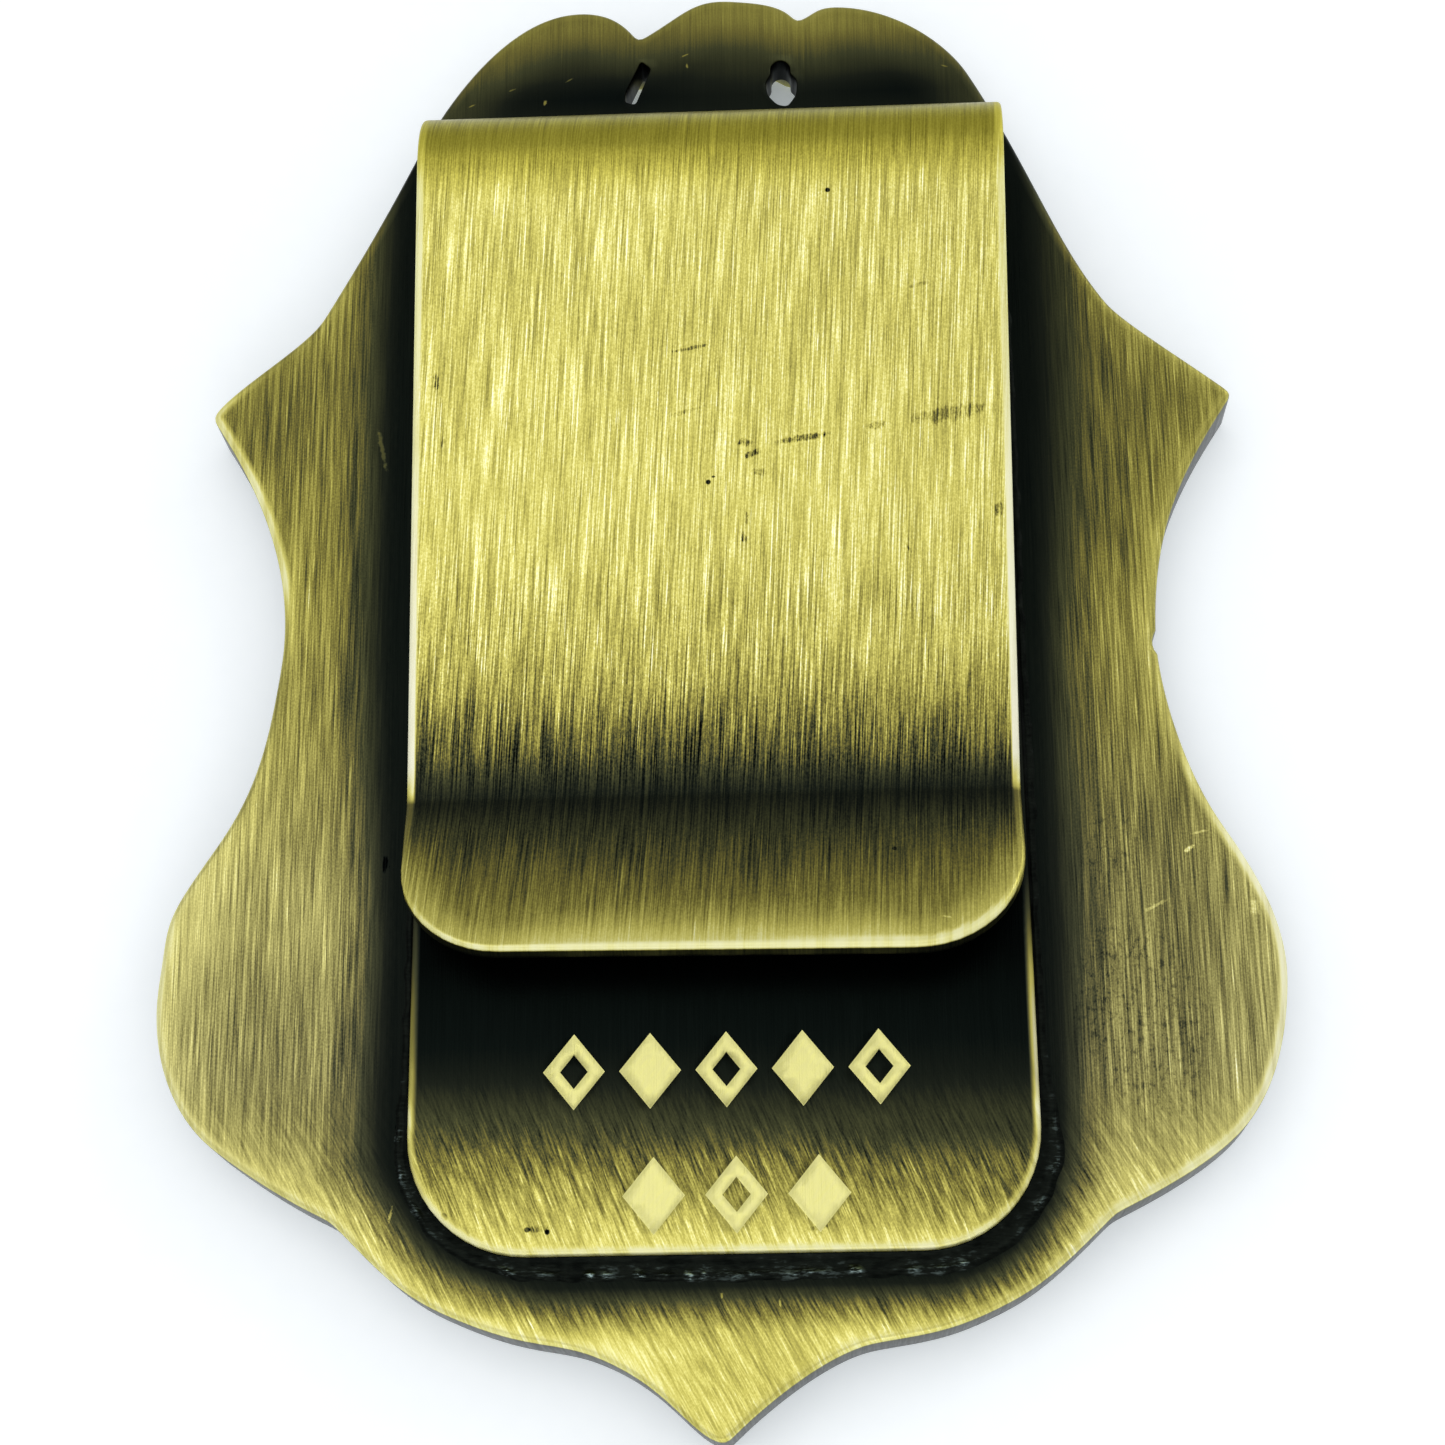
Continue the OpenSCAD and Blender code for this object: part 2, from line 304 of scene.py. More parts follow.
# ---- material building
class Nodes:
    """Short calls for a material's nodes."""

    def __init__(self, name):
        self.mat = bpy.data.materials.new(name)
        self.mat.use_nodes = True
        self.tree = self.mat.node_tree
        self.tree.nodes.clear()

    def put(self, socket, value):
        if isinstance(value, bpy.types.NodeSocket):
            self.tree.links.new(value, socket)
        elif value is not None:
            socket.default_value = value

    def node(self, kind, ins=(), out=0, **props):
        n = self.tree.nodes.new(kind)
        for k, v in props.items():
            setattr(n, k, v)
        for k, v in (ins.items() if isinstance(ins, dict) else enumerate(ins)):
            self.put(n.inputs[k], v)
        return n.outputs[out]

    def math(self, op, a, b=None, c=None):
        return self.node("ShaderNodeMath", (a, b, c), operation=op)

    add = partialmethod(math, "ADD")
    less = partialmethod(math, "SUBTRACT")
    times = partialmethod(math, "MULTIPLY")
    times_plus = partialmethod(math, "MULTIPLY_ADD")

    def vec(self, op, a, b=None, out=0):
        return self.node("ShaderNodeVectorMath", (a, b), out, operation=op)

    def attr(self, name):
        return self.node("ShaderNodeAttribute", out=2, attribute_name=name)

    def place(self):
        """Object coordinates in millimetres."""
        return self.vec("MULTIPLY", self.node("ShaderNodeTexCoord", out=3), (1000, 1000, 1000))

    def turn(self, v, degrees):
        return self.node("ShaderNodeVectorRotate", {"Vector": v, "Angle": math.radians(degrees)},
                         rotation_type="Z_AXIS")

    def noise(self, v, size, detail=2, rough=0.5):
        """Noise about 0.5, with features of the given size in mm along X, Y and Z."""
        scaled = self.vec("MULTIPLY", v, tuple(1 / s for s in size))
        return self.node("ShaderNodeTexNoise", {"Vector": scaled, "Scale": 1, "Detail": detail,
                                                "Roughness": rough})

    def remap(self, x, a, b, c=0, d=1, soft=True):
        return self.node("ShaderNodeMapRange", {0: x, 1: a, 2: b, 3: c, 4: d},
                         interpolation_type="SMOOTHSTEP" if soft else "LINEAR")

    def mix(self, t, a, b):
        return self.node("ShaderNodeMix", {0: t, 2: a, 3: b})

    def mix_colour(self, t, a, b):
        return self.node("ShaderNodeMix", {0: t, 6: a, 7: b}, out=2, data_type="RGBA")

    def ramp(self, x, stops):
        n = self.tree.nodes.new("ShaderNodeValToRGB")
        r = n.color_ramp
        while len(r.elements) < len(stops):
            r.elements.new(0.5)
        for e, (at, colour) in zip(r.elements, stops):
            e.position = at
            e.color = shade(*colour)
        self.put(n.inputs[0], x)
        return n.outputs[0]

    def bump(self, height, strength, distance):
        return self.node("ShaderNodeBump", {"Strength": strength, "Distance": distance,
                                            "Height": height})

    def surface(self, **sockets):
        n = self.tree.nodes.new("ShaderNodeBsdfPrincipled")
        for k, v in sockets.items():
            self.put(n.inputs[k.replace("_", " ")], v)
        out = self.tree.nodes.new("ShaderNodeOutputMaterial")
        self.tree.links.new(n.outputs[0], out.inputs[0])
        return self.mat


def shade(*rgb):
    """Scene-linear RGBA of a colour as it is seen on a screen."""
    return (*(c / 12.92 if c <= 0.04045 else ((c + 0.055) / 1.055) ** 2.4 for c in rgb), 1)


# Antique brass from black patina to polished metal, by how bright the metal shows.
BRASS = [
    (0, (0.008, 0.012, 0.011)),
    (0.065, (0.044, 0.064, 0.056)),
    (0.12, (0.106, 0.12, 0.092)),
    (0.26, (0.255, 0.262, 0.165)),
    (0.41, (0.43, 0.405, 0.2)),
    (0.52, (0.545, 0.52, 0.245)),
    (0.63, (0.655, 0.625, 0.315)),
    (0.73, (0.75, 0.718, 0.36)),
    (0.83, (0.855, 0.825, 0.46)),
    (0.92, (0.93, 0.915, 0.64)),
    (1, (0.985, 0.98, 0.83)),
]


def antique_brass(name, lay, marks=None, face=0, slant=None, bright_cut=False,
                  quiet=(0.05, 0.42), lean=0):
    """Brushed, patinated brass. The piece's "tone" paints how much patina is left, with painted
    shade in it; its "edge" paints polish with a painted highlight; the brush lines thin the tone
    into streaks. lay gives the coordinates along the brush lines, face the level the marks lie
    on, and quiet the two tones between which the streaks come in."""
    n = Nodes(name)
    v = lay(n)

    def brushing(w, k=1, across=1):
        """Brush lines along w's Y, k times as long and across times as wide as usual."""
        broad = n.noise(w, (0.12 * across, 7.5 * k, 6), 3, 0.7)
        fine = n.noise(w, (0.065 * across, 3 * k, 4), 2, 0.6)
        wide = n.noise(w, (0.6, 9 * k, 9))
        tooth = n.noise(w, (0.07, 0.1, 1), 1)
        lines = n.times_plus(broad, 0.5, n.times(fine, 0.5))
        lines = n.times_plus(n.less(tooth, 0.5), 0.19, lines)
        # a few long, bright scratches
        long = n.noise(w, (0.1, 3.4 * k, 5), 1)
        lines = n.add(lines, n.remap(long, 0.66, 0.8, 0, 0.15))
        return lines, wide

    lines, wide = brushing(n.turn(v, lean) if lean else v)
    if slant is not None:  # lower down, the wheel crossed the metal at a slant
        lines2, wide2 = brushing(n.turn(n.place(), slant[0]), 0.38, 1.4)
        y = n.node("ShaderNodeSeparateXYZ", (n.place(),), 1)
        t = n.remap(y, slant[1], slant[2])
        lines, wide = n.mix(t, lines, lines2), n.mix(t, wide, wide2)
    lines = n.less(lines, 0.5)
    wide = n.less(wide, 0.5)
    tone = n.attr("tone")
    # streaks are strongest where patina and bare metal meet
    spread = n.less(tone, 0.46)
    spread = n.times(spread, spread)
    amp = n.remap(spread, 0, 0.2, 1.95, 0.46, soft=False)
    amp = n.times(amp, n.remap(tone, quiet[0], quiet[1], 0.05, 1))
    amp = n.times(amp, n.attr("streak"))
    t = n.times_plus(lines, amp, tone)
    t = n.times_plus(wide, n.times(amp, 0.06), t)
    blot = n.noise(v, (3.5, 6, 5))
    t = n.times_plus(n.less(blot, 0.5), n.times(amp, 0.05), t)
    rough = n.remap(lines, -0.22, 0.22, 0.4, 0.3)
    marks = [(kind, *m) for kind, group in (marks or {}).items() for m in group]
    for kind, x, y, rx, ry, turn_by, strength in marks:  # rx and ry are a mark's half sizes
        here = n.vec("SUBTRACT", v, (x, y, face))
        if turn_by:
            here = n.turn(here, -turn_by)
        here = n.vec("MULTIPLY", here, (1 / rx, 1 / ry, 1 / 0.7))
        far = n.vec("LENGTH", here, out=1)
        if kind in ("scuff", "pale"):
            ragged = n.noise(v, (0.22, 0.55 if kind == "scuff" else 0.22, 1), 3, 0.7)
            far = n.times_plus(ragged, 1.6, n.less(far, 0.6))
        here = n.remap(far, 1, 0.55, 0, strength)
        if kind == "scuff":
            here = n.times(here, n.remap(lines, -0.1, 0.08, 1.25, 0.25))
        if kind == "flecks":
            spots = n.noise(v, (0.24, 0.36, 1), 3, 0.7)
            here = n.times(here, n.remap(spots, 0.5, 0.66))
        t = n.less(t, here) if kind != "pale" else n.add(t, here)
    # the edge attribute paints polish together with a painted highlight on the edges
    edge = n.math("MINIMUM", n.attr("edge"), 1)
    wear_and_glint = n.times(edge, n.remap(wide, -0.25, 0.2, 0.55, 1))
    t = n.mix(wear_and_glint, t, n.math("MAXIMUM", t, 0.96))
    colour = n.ramp(t, BRASS)
    fade = n.times_plus(n.attr("grey"), -0.35, 1)
    colour = n.node("ShaderNodeHueSaturation", {"Saturation": fade, "Color": colour})
    rough = n.mix(wear_and_glint, rough, 0.55)
    metal = n.times_plus(wear_and_glint, -0.45, 1)
    white_glint = n.remap(n.attr("edge"), 1, 1.6, 0, 0.72)  # polished edges with a painted highlight, almost white
    colour = n.mix_colour(white_glint, colour, shade(1, 0.995, 0.95))
    metal = n.times_plus(white_glint, -0.35, metal)
    if bright_cut:
        grain = n.noise(n.turn(n.place(), 37), (0.12, 0.5, 1))
        rough = n.remap(grain, 0.3, 0.7, 0.42, 0.52)
        metal = 1
        colour = n.mix_colour(n.remap(grain, 0.25, 0.75), shade(0.9, 0.88, 0.56),
                              shade(0.93, 0.91, 0.62))
    height = n.times_plus(n.noise(v, (1.4, 3, 3)), 1.6, lines)
    normal = n.bump(height, 0.35, 0.00006)
    return n.surface(Base_Color=colour, Metallic=metal, Roughness=rough, Normal=normal)


def lay_attribute(n):
    return n.node("ShaderNodeAttribute", out=1, attribute_name="lay")


# ---- the badge's outline
# Knots, counterclockwise from the bottom point: x, y, direction in, direction out, reach in,
# reach out. They are the CAD plate's own.
KNOTS = [
    (0.1, -32.8, -8, 45, 1.4, 1.9), (6.05, -29, 9, 9, 1.9, 2.2),
    (11.55, -27.4, 27, 27, 2.7, 1.7), (15.7, -24.05, 43, 25, 1.8, 1.9),
    (20.5, -21.2, 41, 41, 1.65, 2.35), (23.15, -14.8, 85, 85, 2.45, 2.5),
    (21, -8.05, 121, 121, 2.3, 2.85), (18.75, 0.6, 88, 88, 2.25, 4.7),
    (22.75, 11.75, 56, 138, 4.6, 2.2), (17.5, 16.4, 124, 124, 1.2, 3.7),
    (11.85, 28.4, 118, 118, 5.7, 1.95), (6, 32.2, 177, 177, 2.6, 1.2),
    (4.05, 31.45, 203, 117, 1.05, 1.1), (0.95, 32.7, 174, 174, 1.35, 1.85),
    (-3.3, 30.7, 211, 123, 2.4, 1.3), (-6.05, 32.3, 180, 180, 1.3, 3.3),
    (-13.45, 24.85, 246, 246, 3.2, 3.5), (-17.45, 16.7, 242, 242, 3.45, 1.55),
    (-22.25, 11.95, 245, 303, 1.4, 4.25), (-18.7, -0.1, 263, 263, 4.45, 3.15),
    (-21.1, -8.05, 237, 237, 3.1, 4.05), (-23.2, -13.9, 264, 264, 2.85, 2.75),
    (-20.55, -20.9, -37, -37, 2.45, 1.9), (-15.75, -23.85, -25, -43, 1.9, 1.8),
    (-11.3, -27.5, -25, -25, 2.15, 3.95), (-4.95, -29.4, -22, -22, 2, 3.25),
]


def toward(degrees, reach):
    return np.array([math.cos(math.radians(degrees)), math.sin(math.radians(degrees))]) * reach


def badge_outline():
    drawn = []
    for k, m in zip(KNOTS, KNOTS[1:] + KNOTS[:1]):
        a, d = np.array(k[:2]), np.array(m[:2])
        b, c = a + toward(k[3], k[5]), d - toward(m[2], m[4])
        for i in range(16):
            t = i / 16
            drawn.append(a * (1 - t) ** 3 + b * 3 * t * (1 - t) ** 2 + c * 3 * t * t * (1 - t)
                         + d * t ** 3)
    drawn = np.array(drawn)
    lo, hi = drawn.min(0), drawn.max(0)
    drawn = (drawn - (lo + hi) / 2) * (plate_hi[:2] - plate_lo[:2]) / (hi - lo)
    out = soften(resample(drawn, LOOP_STEP), 2)  # corners are cast, not knife-sharp
    # the dent at the right waist
    cx, cy, r = 19.5, 0.2, 0.85
    near = (np.hypot(out[:, 0] - cx, out[:, 1] - cy) < r) & (out[:, 0] > 0)
    out[near, 0] = cx - np.sqrt(r * r - (out[near, 1] - cy) ** 2)
    return out


def badge_field():
    """The sunken field's outline: the badge's own, shrunk, and widened round the piercings."""
    out = outline * FIELD_SHARE
    for cx, cy, r in ((-3.3, 28.4, 1.5), (3.3, 28.2, 1.6)):
        off = out - (cx, cy)
        far = np.linalg.norm(off, axis=1)
        near = far < r
        out[near] = (cx, cy) + off[near] / far[near, None] * r
    return resample(out, LOOP_STEP)


outline = badge_outline()
field = badge_field()


def ring_points(cx, cy, r, n):
    a = np.arange(n) * 2 * math.pi / n
    return np.stack([cx + r * np.cos(a), cy + r * np.sin(a)], 1)


# the two piercings under the crest: a leaning slit, and a round hole run into a drop
HOLE_STEP = 0.09
SLIT_KNOTS = [(-3.13, 29.5), (-3.86, 27.83), (-3.86, 27.4), (-3.4, 27.25), (-2.68, 29.12)]
DROP_KNOTS = [(2.68, 28.3), (2.6, 28.1), (2.72, 27.5), (3.15, 27), (3.6, 26.9), (4, 27.5),
              (4.05, 28.25), (3.85, 28.5)]
hole_arc = [(3.3, 28.85) + toward(a, 0.46) for a in range(-30, 211, 15)]
slit = soften(resample(np.array(SLIT_KNOTS), HOLE_STEP), 2)
keyhole = soften(resample(np.array(hole_arc + DROP_KNOTS), HOLE_STEP), 4)


# ---- the relief face
def ridge(d, half, soft=0.22):
    """1 within half of a line, falling softly to 0 just beyond."""
    return 1 - smooth(half - soft / 2, half + soft / 2, d)


RIBBON_R = 19
RIBBONS = ((90, 62), (270, 44))  # the middle and the spread of each, in degrees


def relief_height(p):
    """How far the relief face stands out of the sunken field, in mm, at points p."""
    x, y = p[:, 0], p[:, 1] - MEDAL_Y
    r, a = np.hypot(x, y), np.degrees(np.arctan2(y, x)) % 360
    full = FIELD_DEPTH
    # the medallion: a flat ring round a low dome with a plain rosette
    ring = ridge(np.abs(r - 8.85), 0.65)
    dome = np.clip(full - 28.3 + np.sqrt(np.maximum(28 ** 2 - r ** 2, 0)), 0, None)
    petal = np.cos(np.radians(a * 6))
    leaf = share(1 - np.abs(r - 3.6) / 2.9) * np.clip(petal + 0.35, 0, 1.35)
    groove = ridge(np.abs(r - 6.9), 0.14, 0.2)
    dome = dome * (r < 8.3) - 0.22 * smooth(0, 1, 1 - leaf) * (r < 6.9) * smooth(6.9, 6.3, r)
    boss = 0.22 * ridge(r, 0.9, 0.5)
    dome = np.clip(dome - 0.12 * groove + boss, 0, full)
    out = np.maximum(dome * (r < 8.4), full * ring)
    # beads round it
    bead = np.radians((a + 7.5) % 15 - 7.5) * r
    d = np.hypot(bead, r - 10.6)
    out = np.maximum(out, 0.9 * np.sqrt(share(1 - (d / 0.56) ** 2)))
    # the sunburst's tapered rays, each with a ridge
    ray = np.abs(np.radians((a % 15) - 7.5) * r)
    half = np.interp(r, [11.7, 16.1, 16.7], [0.25, 0.75, 0])
    on = share((r - 11.5) / 0.3) * share((16.85 - r) / 0.3)
    out = np.maximum(out, on * 0.5 * share((half + 0.06 - ray) / 0.35))
    # plain curved ribbons above and below, with a fine line inside each edge
    for mid, spread in RIBBONS:
        off = np.abs(((a - mid) + 180) % 360 - 180) * np.pi / 180 * r
        reach = np.radians(spread / 2) * RIBBON_R
        band = ridge(np.abs(r - RIBBON_R), 1.4) * ridge(off, reach)
        line = ridge(np.abs(np.abs(r - RIBBON_R) - 1), 0.09, 0.16) * ridge(off, reach - 0.5)
        out = np.maximum(out, band * 1.05 - 0.15 * line * band)
    # the fan of ribs under the crest
    fx, fy = p[:, 0] - 0.3, p[:, 1] - 12
    fr, fa = np.hypot(fx, fy), np.degrees(np.arctan2(fy, fx)) - 90
    near = np.clip(np.round(fa / 9.5), -4, 4)
    off = np.abs(np.radians(fa - near * 9.5) * fr)
    rib = share((fr - 9.5) / 0.4) * share((14.4 - fr) / 0.4)
    out = np.maximum(out, 0.8 * rib * np.sqrt(share(1 - (off / 0.5) ** 2)))
    return out


def fine_relief(p):
    """True where the relief is small: beads and rays round the medallion, and the fan."""
    r = np.hypot(p[:, 0], p[:, 1] - MEDAL_Y)
    x, y = p[:, 0] - 0.3, p[:, 1] - 12
    far = np.hypot(x, y)
    return ((r > 9.8) & (r < 17)) | ((far > 9.3) & (far < 14.6) & (y > np.abs(x) * 0.9))


def relief_loops():
    """The feet and the top edges of the medallion's ring and of the two ribbons."""
    out = [ring_points(0, MEDAL_Y, r, int(r * 28)) for r in (8.09, 8.31, 9.39, 9.61)]
    for mid, spread in RIBBONS:
        for grow in (-0.11, 0.11):
            reach = math.radians(spread / 2) * RIBBON_R + grow
            loop = []
            for r, way in ((RIBBON_R + 1.4 + grow, 1), (RIBBON_R - 1.4 - grow, -1)):
                span = reach / r
                for a in np.linspace(-span, span, 90)[::way]:
                    at = math.radians(mid) + a
                    loop.append((r * math.cos(at), MEDAL_Y + r * math.sin(at)))
            out.append(resample(np.array(loop), LOOP_STEP))
    return out


def build_badge(material):
    s = Solid()
    # from the flat back's rounded edge, down the side, to the relief rim's
    rings = rounding(0.24, BACK_Z, -1) + [(0, BACK_Z / 2)] + rounding(0.3, 0, 1)[::-1]
    loops = [level_loop(inset(outline, d), z) for d, z in rings]
    s.band([l[::-1] for l in loops])
    # flat back
    back_loop = loops[0][:, :2]
    holes = [slit, keyhole]
    round_in = 0.07
    wide = [inset(h, -round_in) for h in holes]
    margin = inset(outline, 0.5)
    pts = grid_points(plate_lo, plate_hi, 0.42, 0.16, [back_loop, margin], wide)
    xy, faces = triangulate([back_loop, margin], pts, wide)
    s.sheet(level_loop(xy, BACK_Z), faces)
    # piercing walls, from the rounded edge at the back to the sunken field
    for h, w in zip(holes, wide):
        half = inset(h, -round_in * 0.35)
        s.band([level_loop(q, z) for q, z in ((w, BACK_Z), (half, BACK_Z - 0.03),
                                              (h, BACK_Z - 0.1), (h, 2.2), (h, FIELD_DEPTH))])
    # relief face
    front_loop = loops[-1][:, :2]
    steps = (0, 0.08, 0.27, 0.35)
    walls = [inset(field, d) for d in steps]
    pts = grid_points(plate_lo, plate_hi, 0.25, 0.09, [front_loop], holes)
    close = grid_points((-18, -22), (18, 28), 0.15, 0.09, [front_loop], holes)
    pts = np.vstack([pts[~fine_relief(pts)], close[fine_relief(close)]])
    deep = signed(pts, field)
    pts = pts[np.all([np.abs(deep - d) > 0.09 for d in steps], axis=0)]
    raised = relief_loops()
    for loop in raised:
        pts = pts[seg_dist(pts, loop) > 0.07]
    xy, faces = triangulate([front_loop] + walls + raised, pts, holes)
    deep = signed(xy, field)
    depth = np.interp(deep, steps, [0, 0.12, 1.28, FIELD_DEPTH])
    z = np.where(deep > 0, depth, 0)
    hole_gap = hole_dist(xy)
    lift = relief_height(xy) * smooth(0.5, 0.9, deep) * smooth(0.02, 0.4, hole_gap)
    z = np.where(hole_gap < 0.02, FIELD_DEPTH, np.clip(z - lift, 0, None))
    s.sheet(np.column_stack([xy, z]), faces, flip=True)
    return s.make("badge_casting", [material], sharp=38)


def hole_dist(p):
    return np.minimum(seg_dist(p, slit), seg_dist(p, keyhole))


def paint_badge(obj):
    """Dark round the clip, from patina and painted shade, dark in the piercings, and patina in
    the relief's field.
    """
    p = points_of(obj)
    flat = p[:, :2]
    x, y, z = p.T
    rim = seg_dist(flat, outline)
    # how far the point lies outside the clip
    dx = np.abs(x - STRIP_X) - HALF
    dy = np.maximum(LEG_END - y, y - (FOLD_Y + FOLD_R))
    corner = beyond(dx + LEG_CORNER, dy + LEG_CORNER) - LEG_CORNER
    gap = np.where((y < LEG_END + LEG_CORNER) & (dx > -LEG_CORNER), corner, np.maximum(dx, dy))
    gap = np.where(y > FOLD_Y, beyond(dx, dy), gap)
    left = x < 0
    rows = [-33, -29, -25.5, -22, -19.5, -16, -12, -8, 0, 12, 20, 26, 33]
    level = np.where(
        left, np.interp(y, rows, [0.75, 0.76, 0.71, 0.56, 0.49, 0.53, 0.63, 0.55, 0.455, 0.41,
                                  0.4, 0.39, 0.45]),
        np.interp(y, rows, [0.75, 0.77, 0.76, 0.62, 0.55, 0.5, 0.47, 0.47, 0.48, 0.4, 0.39,
                            0.39, 0.45]))
    # painted shade with the patina: the plate darkens towards the clip, over a broader band on
    # the right, away from the light
    here = [-27, -22, -12, 0, 12, 24]
    start = np.where(left, np.interp(y, here, [1.05, 0.8, 0.8, 1.3, 1.4, 1.1]),
                     np.interp(y, here, [1.05, 0.7, 0.7, 0.8, 1.2, 1.1]))
    full = np.where(left, np.interp(y, here, [3.7, 4.2, 3.9, 4.4, 4.2, 4.6]),
                    np.interp(y, here, [3.5, 3.3, 4.4, 4, 5.2, 5]))
    corner_left = smooth(-6.5, -9.5, x) * smooth(-21, -24, y)
    away = smooth(start - 0.4 * corner_left, full - 0.7 * corner_left, gap)
    tone = 0.075 + (level - 0.075) * away ** 0.8
    # the crest darkens towards the fold: patina and painted shade under it
    crest_tone = np.interp(y, [27.6, 28.4, 29.3, 30.1, 30.8, 31.6, 33],
                           [0.08, 0.1, 0.14, 0.21, 0.3, 0.385, 0.43])
    crest_tone += 0.12 * smooth(3, 0.4, rim) * smooth(34, 29.5, y)
    crest_tone += 0.065 * smooth(2.2, 5.5, np.abs(x)) * smooth(27.6, 29.4, y)
    tone += (np.minimum(crest_tone, 0.48) - tone) * smooth(24.5, 27.5, y)
    side = (0.07 * smooth(1.6, 0.2, rim) + 0.05 * smooth(3.2, 1.2, rim)) * smooth(27, 24, y)
    side *= 0.4 + 0.6 * smooth(-31, -25, y)
    tone += side * smooth(0.2, 1, away)
    tone += 0.05 * wave(x * 0.35, y * 0.22, 2) * away
    # sides and piercing walls stay dark
    wall = (z < BACK_Z - 0.15) & (rim < 0.27)
    tone = np.where(wall, np.interp(z, [0, 0.3, 2.75], [0.05, 0.08, 0.15]), tone)
    pierced = (hole_dist(flat) < 0.02) & (z < BACK_Z - 0.05)
    tone = np.where(pierced, 0.05, tone)
    # the relief face is dark in the field and polished on what stands out
    front = (z < FIELD_DEPTH + 0.05) & (rim > 0.27)
    raised = smooth(FIELD_DEPTH, 0.1, z)
    face_tone = 0.16 + 0.62 * raised ** 0.8 + 0.04 * wave(x * 0.6, y * 0.5, 5)
    tone = np.where(front & ~pierced, face_tone, tone)
    # polished edges, with a painted highlight on them
    edge = smooth(0.5, 0.26, rim) * smooth(BACK_Z - 0.32, BACK_Z - 0.08, z)
    wear_and_glint = np.where(
        left, np.interp(y, [-33, -20, -12, -9, -6, 2, 4, 12, 14, 26, 33],
                        [0.12, 0.75, 0.7, 0.15, 0.12, 0.4, 1.1, 1.1, 0.25, 0.12, 0.16]),
        np.interp(y, [-33, -26, -20, -12, -8, -3, 0, 12, 26, 33],
                  [0.12, 0.45, 1.2, 1.25, 1.15, 0.35, 0.2, 0.3, 0.12, 0.16]))
    edge = edge * wear_and_glint * smooth(0.6, 2.4, gap)
    high = smooth(0.35, 0.05, z) * front * 0.35
    paint(obj, "tone", np.clip(tone, 0.02, 0.95))
    paint(obj, "edge", np.maximum(edge, high))
    paint(obj, "streak", np.interp(y, [-28, -20, 10, 26, 29], [0.76, 0.8, 0.74, 0.42, 0.2]))
    paint(obj, "grey", np.interp(y, [-28, -24, -18, -10, -3, 4], [0, 0.15, 0.45, 0.35, 0.1, 0]))


# ---- bent and flat strip
EDGE = 0.17  # radius of the sheet's edges
LEVELS = (rounding(EDGE, THICK / 2, -1) + [(0, 0.14), (0, -0.1)]
          + rounding(EDGE, -THICK / 2, 1)[::-1])


def strip_grid(length, corners, step, columns, inset_by):
    """(u, s) of a whole strip's grid, its free end round-cornered, moved in by inset_by."""
    straight = length - max(corners)
    rows = list(np.linspace(0, straight, int(round(straight / step)) + 1))
    rows += [straight + (max(corners) - inset_by) * math.sin(math.radians(a))
             for a in np.linspace(7.5, 90, 12)]
    v = np.linspace(-1, 1, columns + 1)
    near = 1 - np.array([0.11, 0.22]) / HALF  # closer columns by the edges
    v = np.sort(np.concatenate([v, near, -near]))
    out = []
    for s in rows:
        reach = []
        for r in corners:
            into = max(s - (length - r), 0)
            reach.append(HALF - r + math.sqrt(max((r - inset_by) ** 2 - into ** 2, 0)))
        out.append(np.stack([np.where(v < 0, v * reach[0], v * reach[1]),
                             np.full(len(v), s)], 1))
    return np.array(out)


def grid_ring(g):
    """The closed boundary of a grid, in order."""
    return np.concatenate([g[:, 0], g[-1, 1:-1], g[::-1, -1], g[0, -2:0:-1]])


LEG_GRID = (LEG_LEN, (LEG_CORNER,) * 2, 0.5, 52)


def grid_sheet(g, w):
    """A grid's points at the level w, and the faces between them."""
    rows, cols = g.shape[:2]
    corner = [i * cols + j for i in range(rows - 1) for j in range(cols - 1)]
    faces = [(n, n + cols, n + cols + 1, n + 1) for n in corner]
    return level_loop(g.reshape(-1, 2), w), faces, None


def build_strip(name, grid, place, materials, top=None):
    """A sheet-metal strip with rounded edges. place maps its (u, s, w), which are across,
    along and through the sheet, to the frame's points. top makes another upper sheet."""
    s = Solid()
    grids = [strip_grid(*grid, d) for d, _ in LEVELS]
    s.band([place(level_loop(grid_ring(g)[::-1], w)) for g, (_, w) in zip(grids, LEVELS)])
    upper = top(grid_ring(grids[0])) if top else grid_sheet(grids[0], THICK / 2)
    for (pts, faces, kinds), flip in ((upper, False), (grid_sheet(grids[-1], -THICK / 2), True)):
        s.sheet(place(pts), faces, kinds, flip)
    return s.make(name, materials, sharp=50)


BORE = FOLD_R - THICK
REACH = (FOLD_Y - PINCH_Y, AXIS_Z - PINCH_LOW)
ARM_ANGLE = math.atan2(REACH[1], REACH[0]) + math.asin(BORE / math.hypot(*REACH))
TURN = math.pi + ARM_ANGLE
FOLD_MID, BEND_MID = FOLD_R - THICK / 2, BEND_R + THICK / 2  # radii of the sheet's middle
FOLD_LEN = FOLD_MID * TURN
ARM_WAY = np.array([-math.cos(ARM_ANGLE), -math.sin(ARM_ANGLE)])
ARM_UP = np.array([-math.sin(ARM_ANGLE), math.cos(ARM_ANGLE)])
LIP_WAY = np.array([-math.cos(LIP_ANGLE), math.sin(LIP_ANGLE)])
LIP_UP = np.array([math.sin(LIP_ANGLE), math.cos(LIP_ANGLE)])
ARM_ROOT = np.array([FOLD_Y, AXIS_Z]) + ARM_UP * BORE
BEND_BACK = (BEND_R + THICK) * math.tan((ARM_ANGLE + LIP_ANGLE) / 2)
ARM_RUN = np.linalg.norm(np.array([PINCH_Y, PINCH_LOW]) - ARM_ROOT) - BEND_BACK
ARM_FOOT = ARM_ROOT + ARM_WAY * ARM_RUN
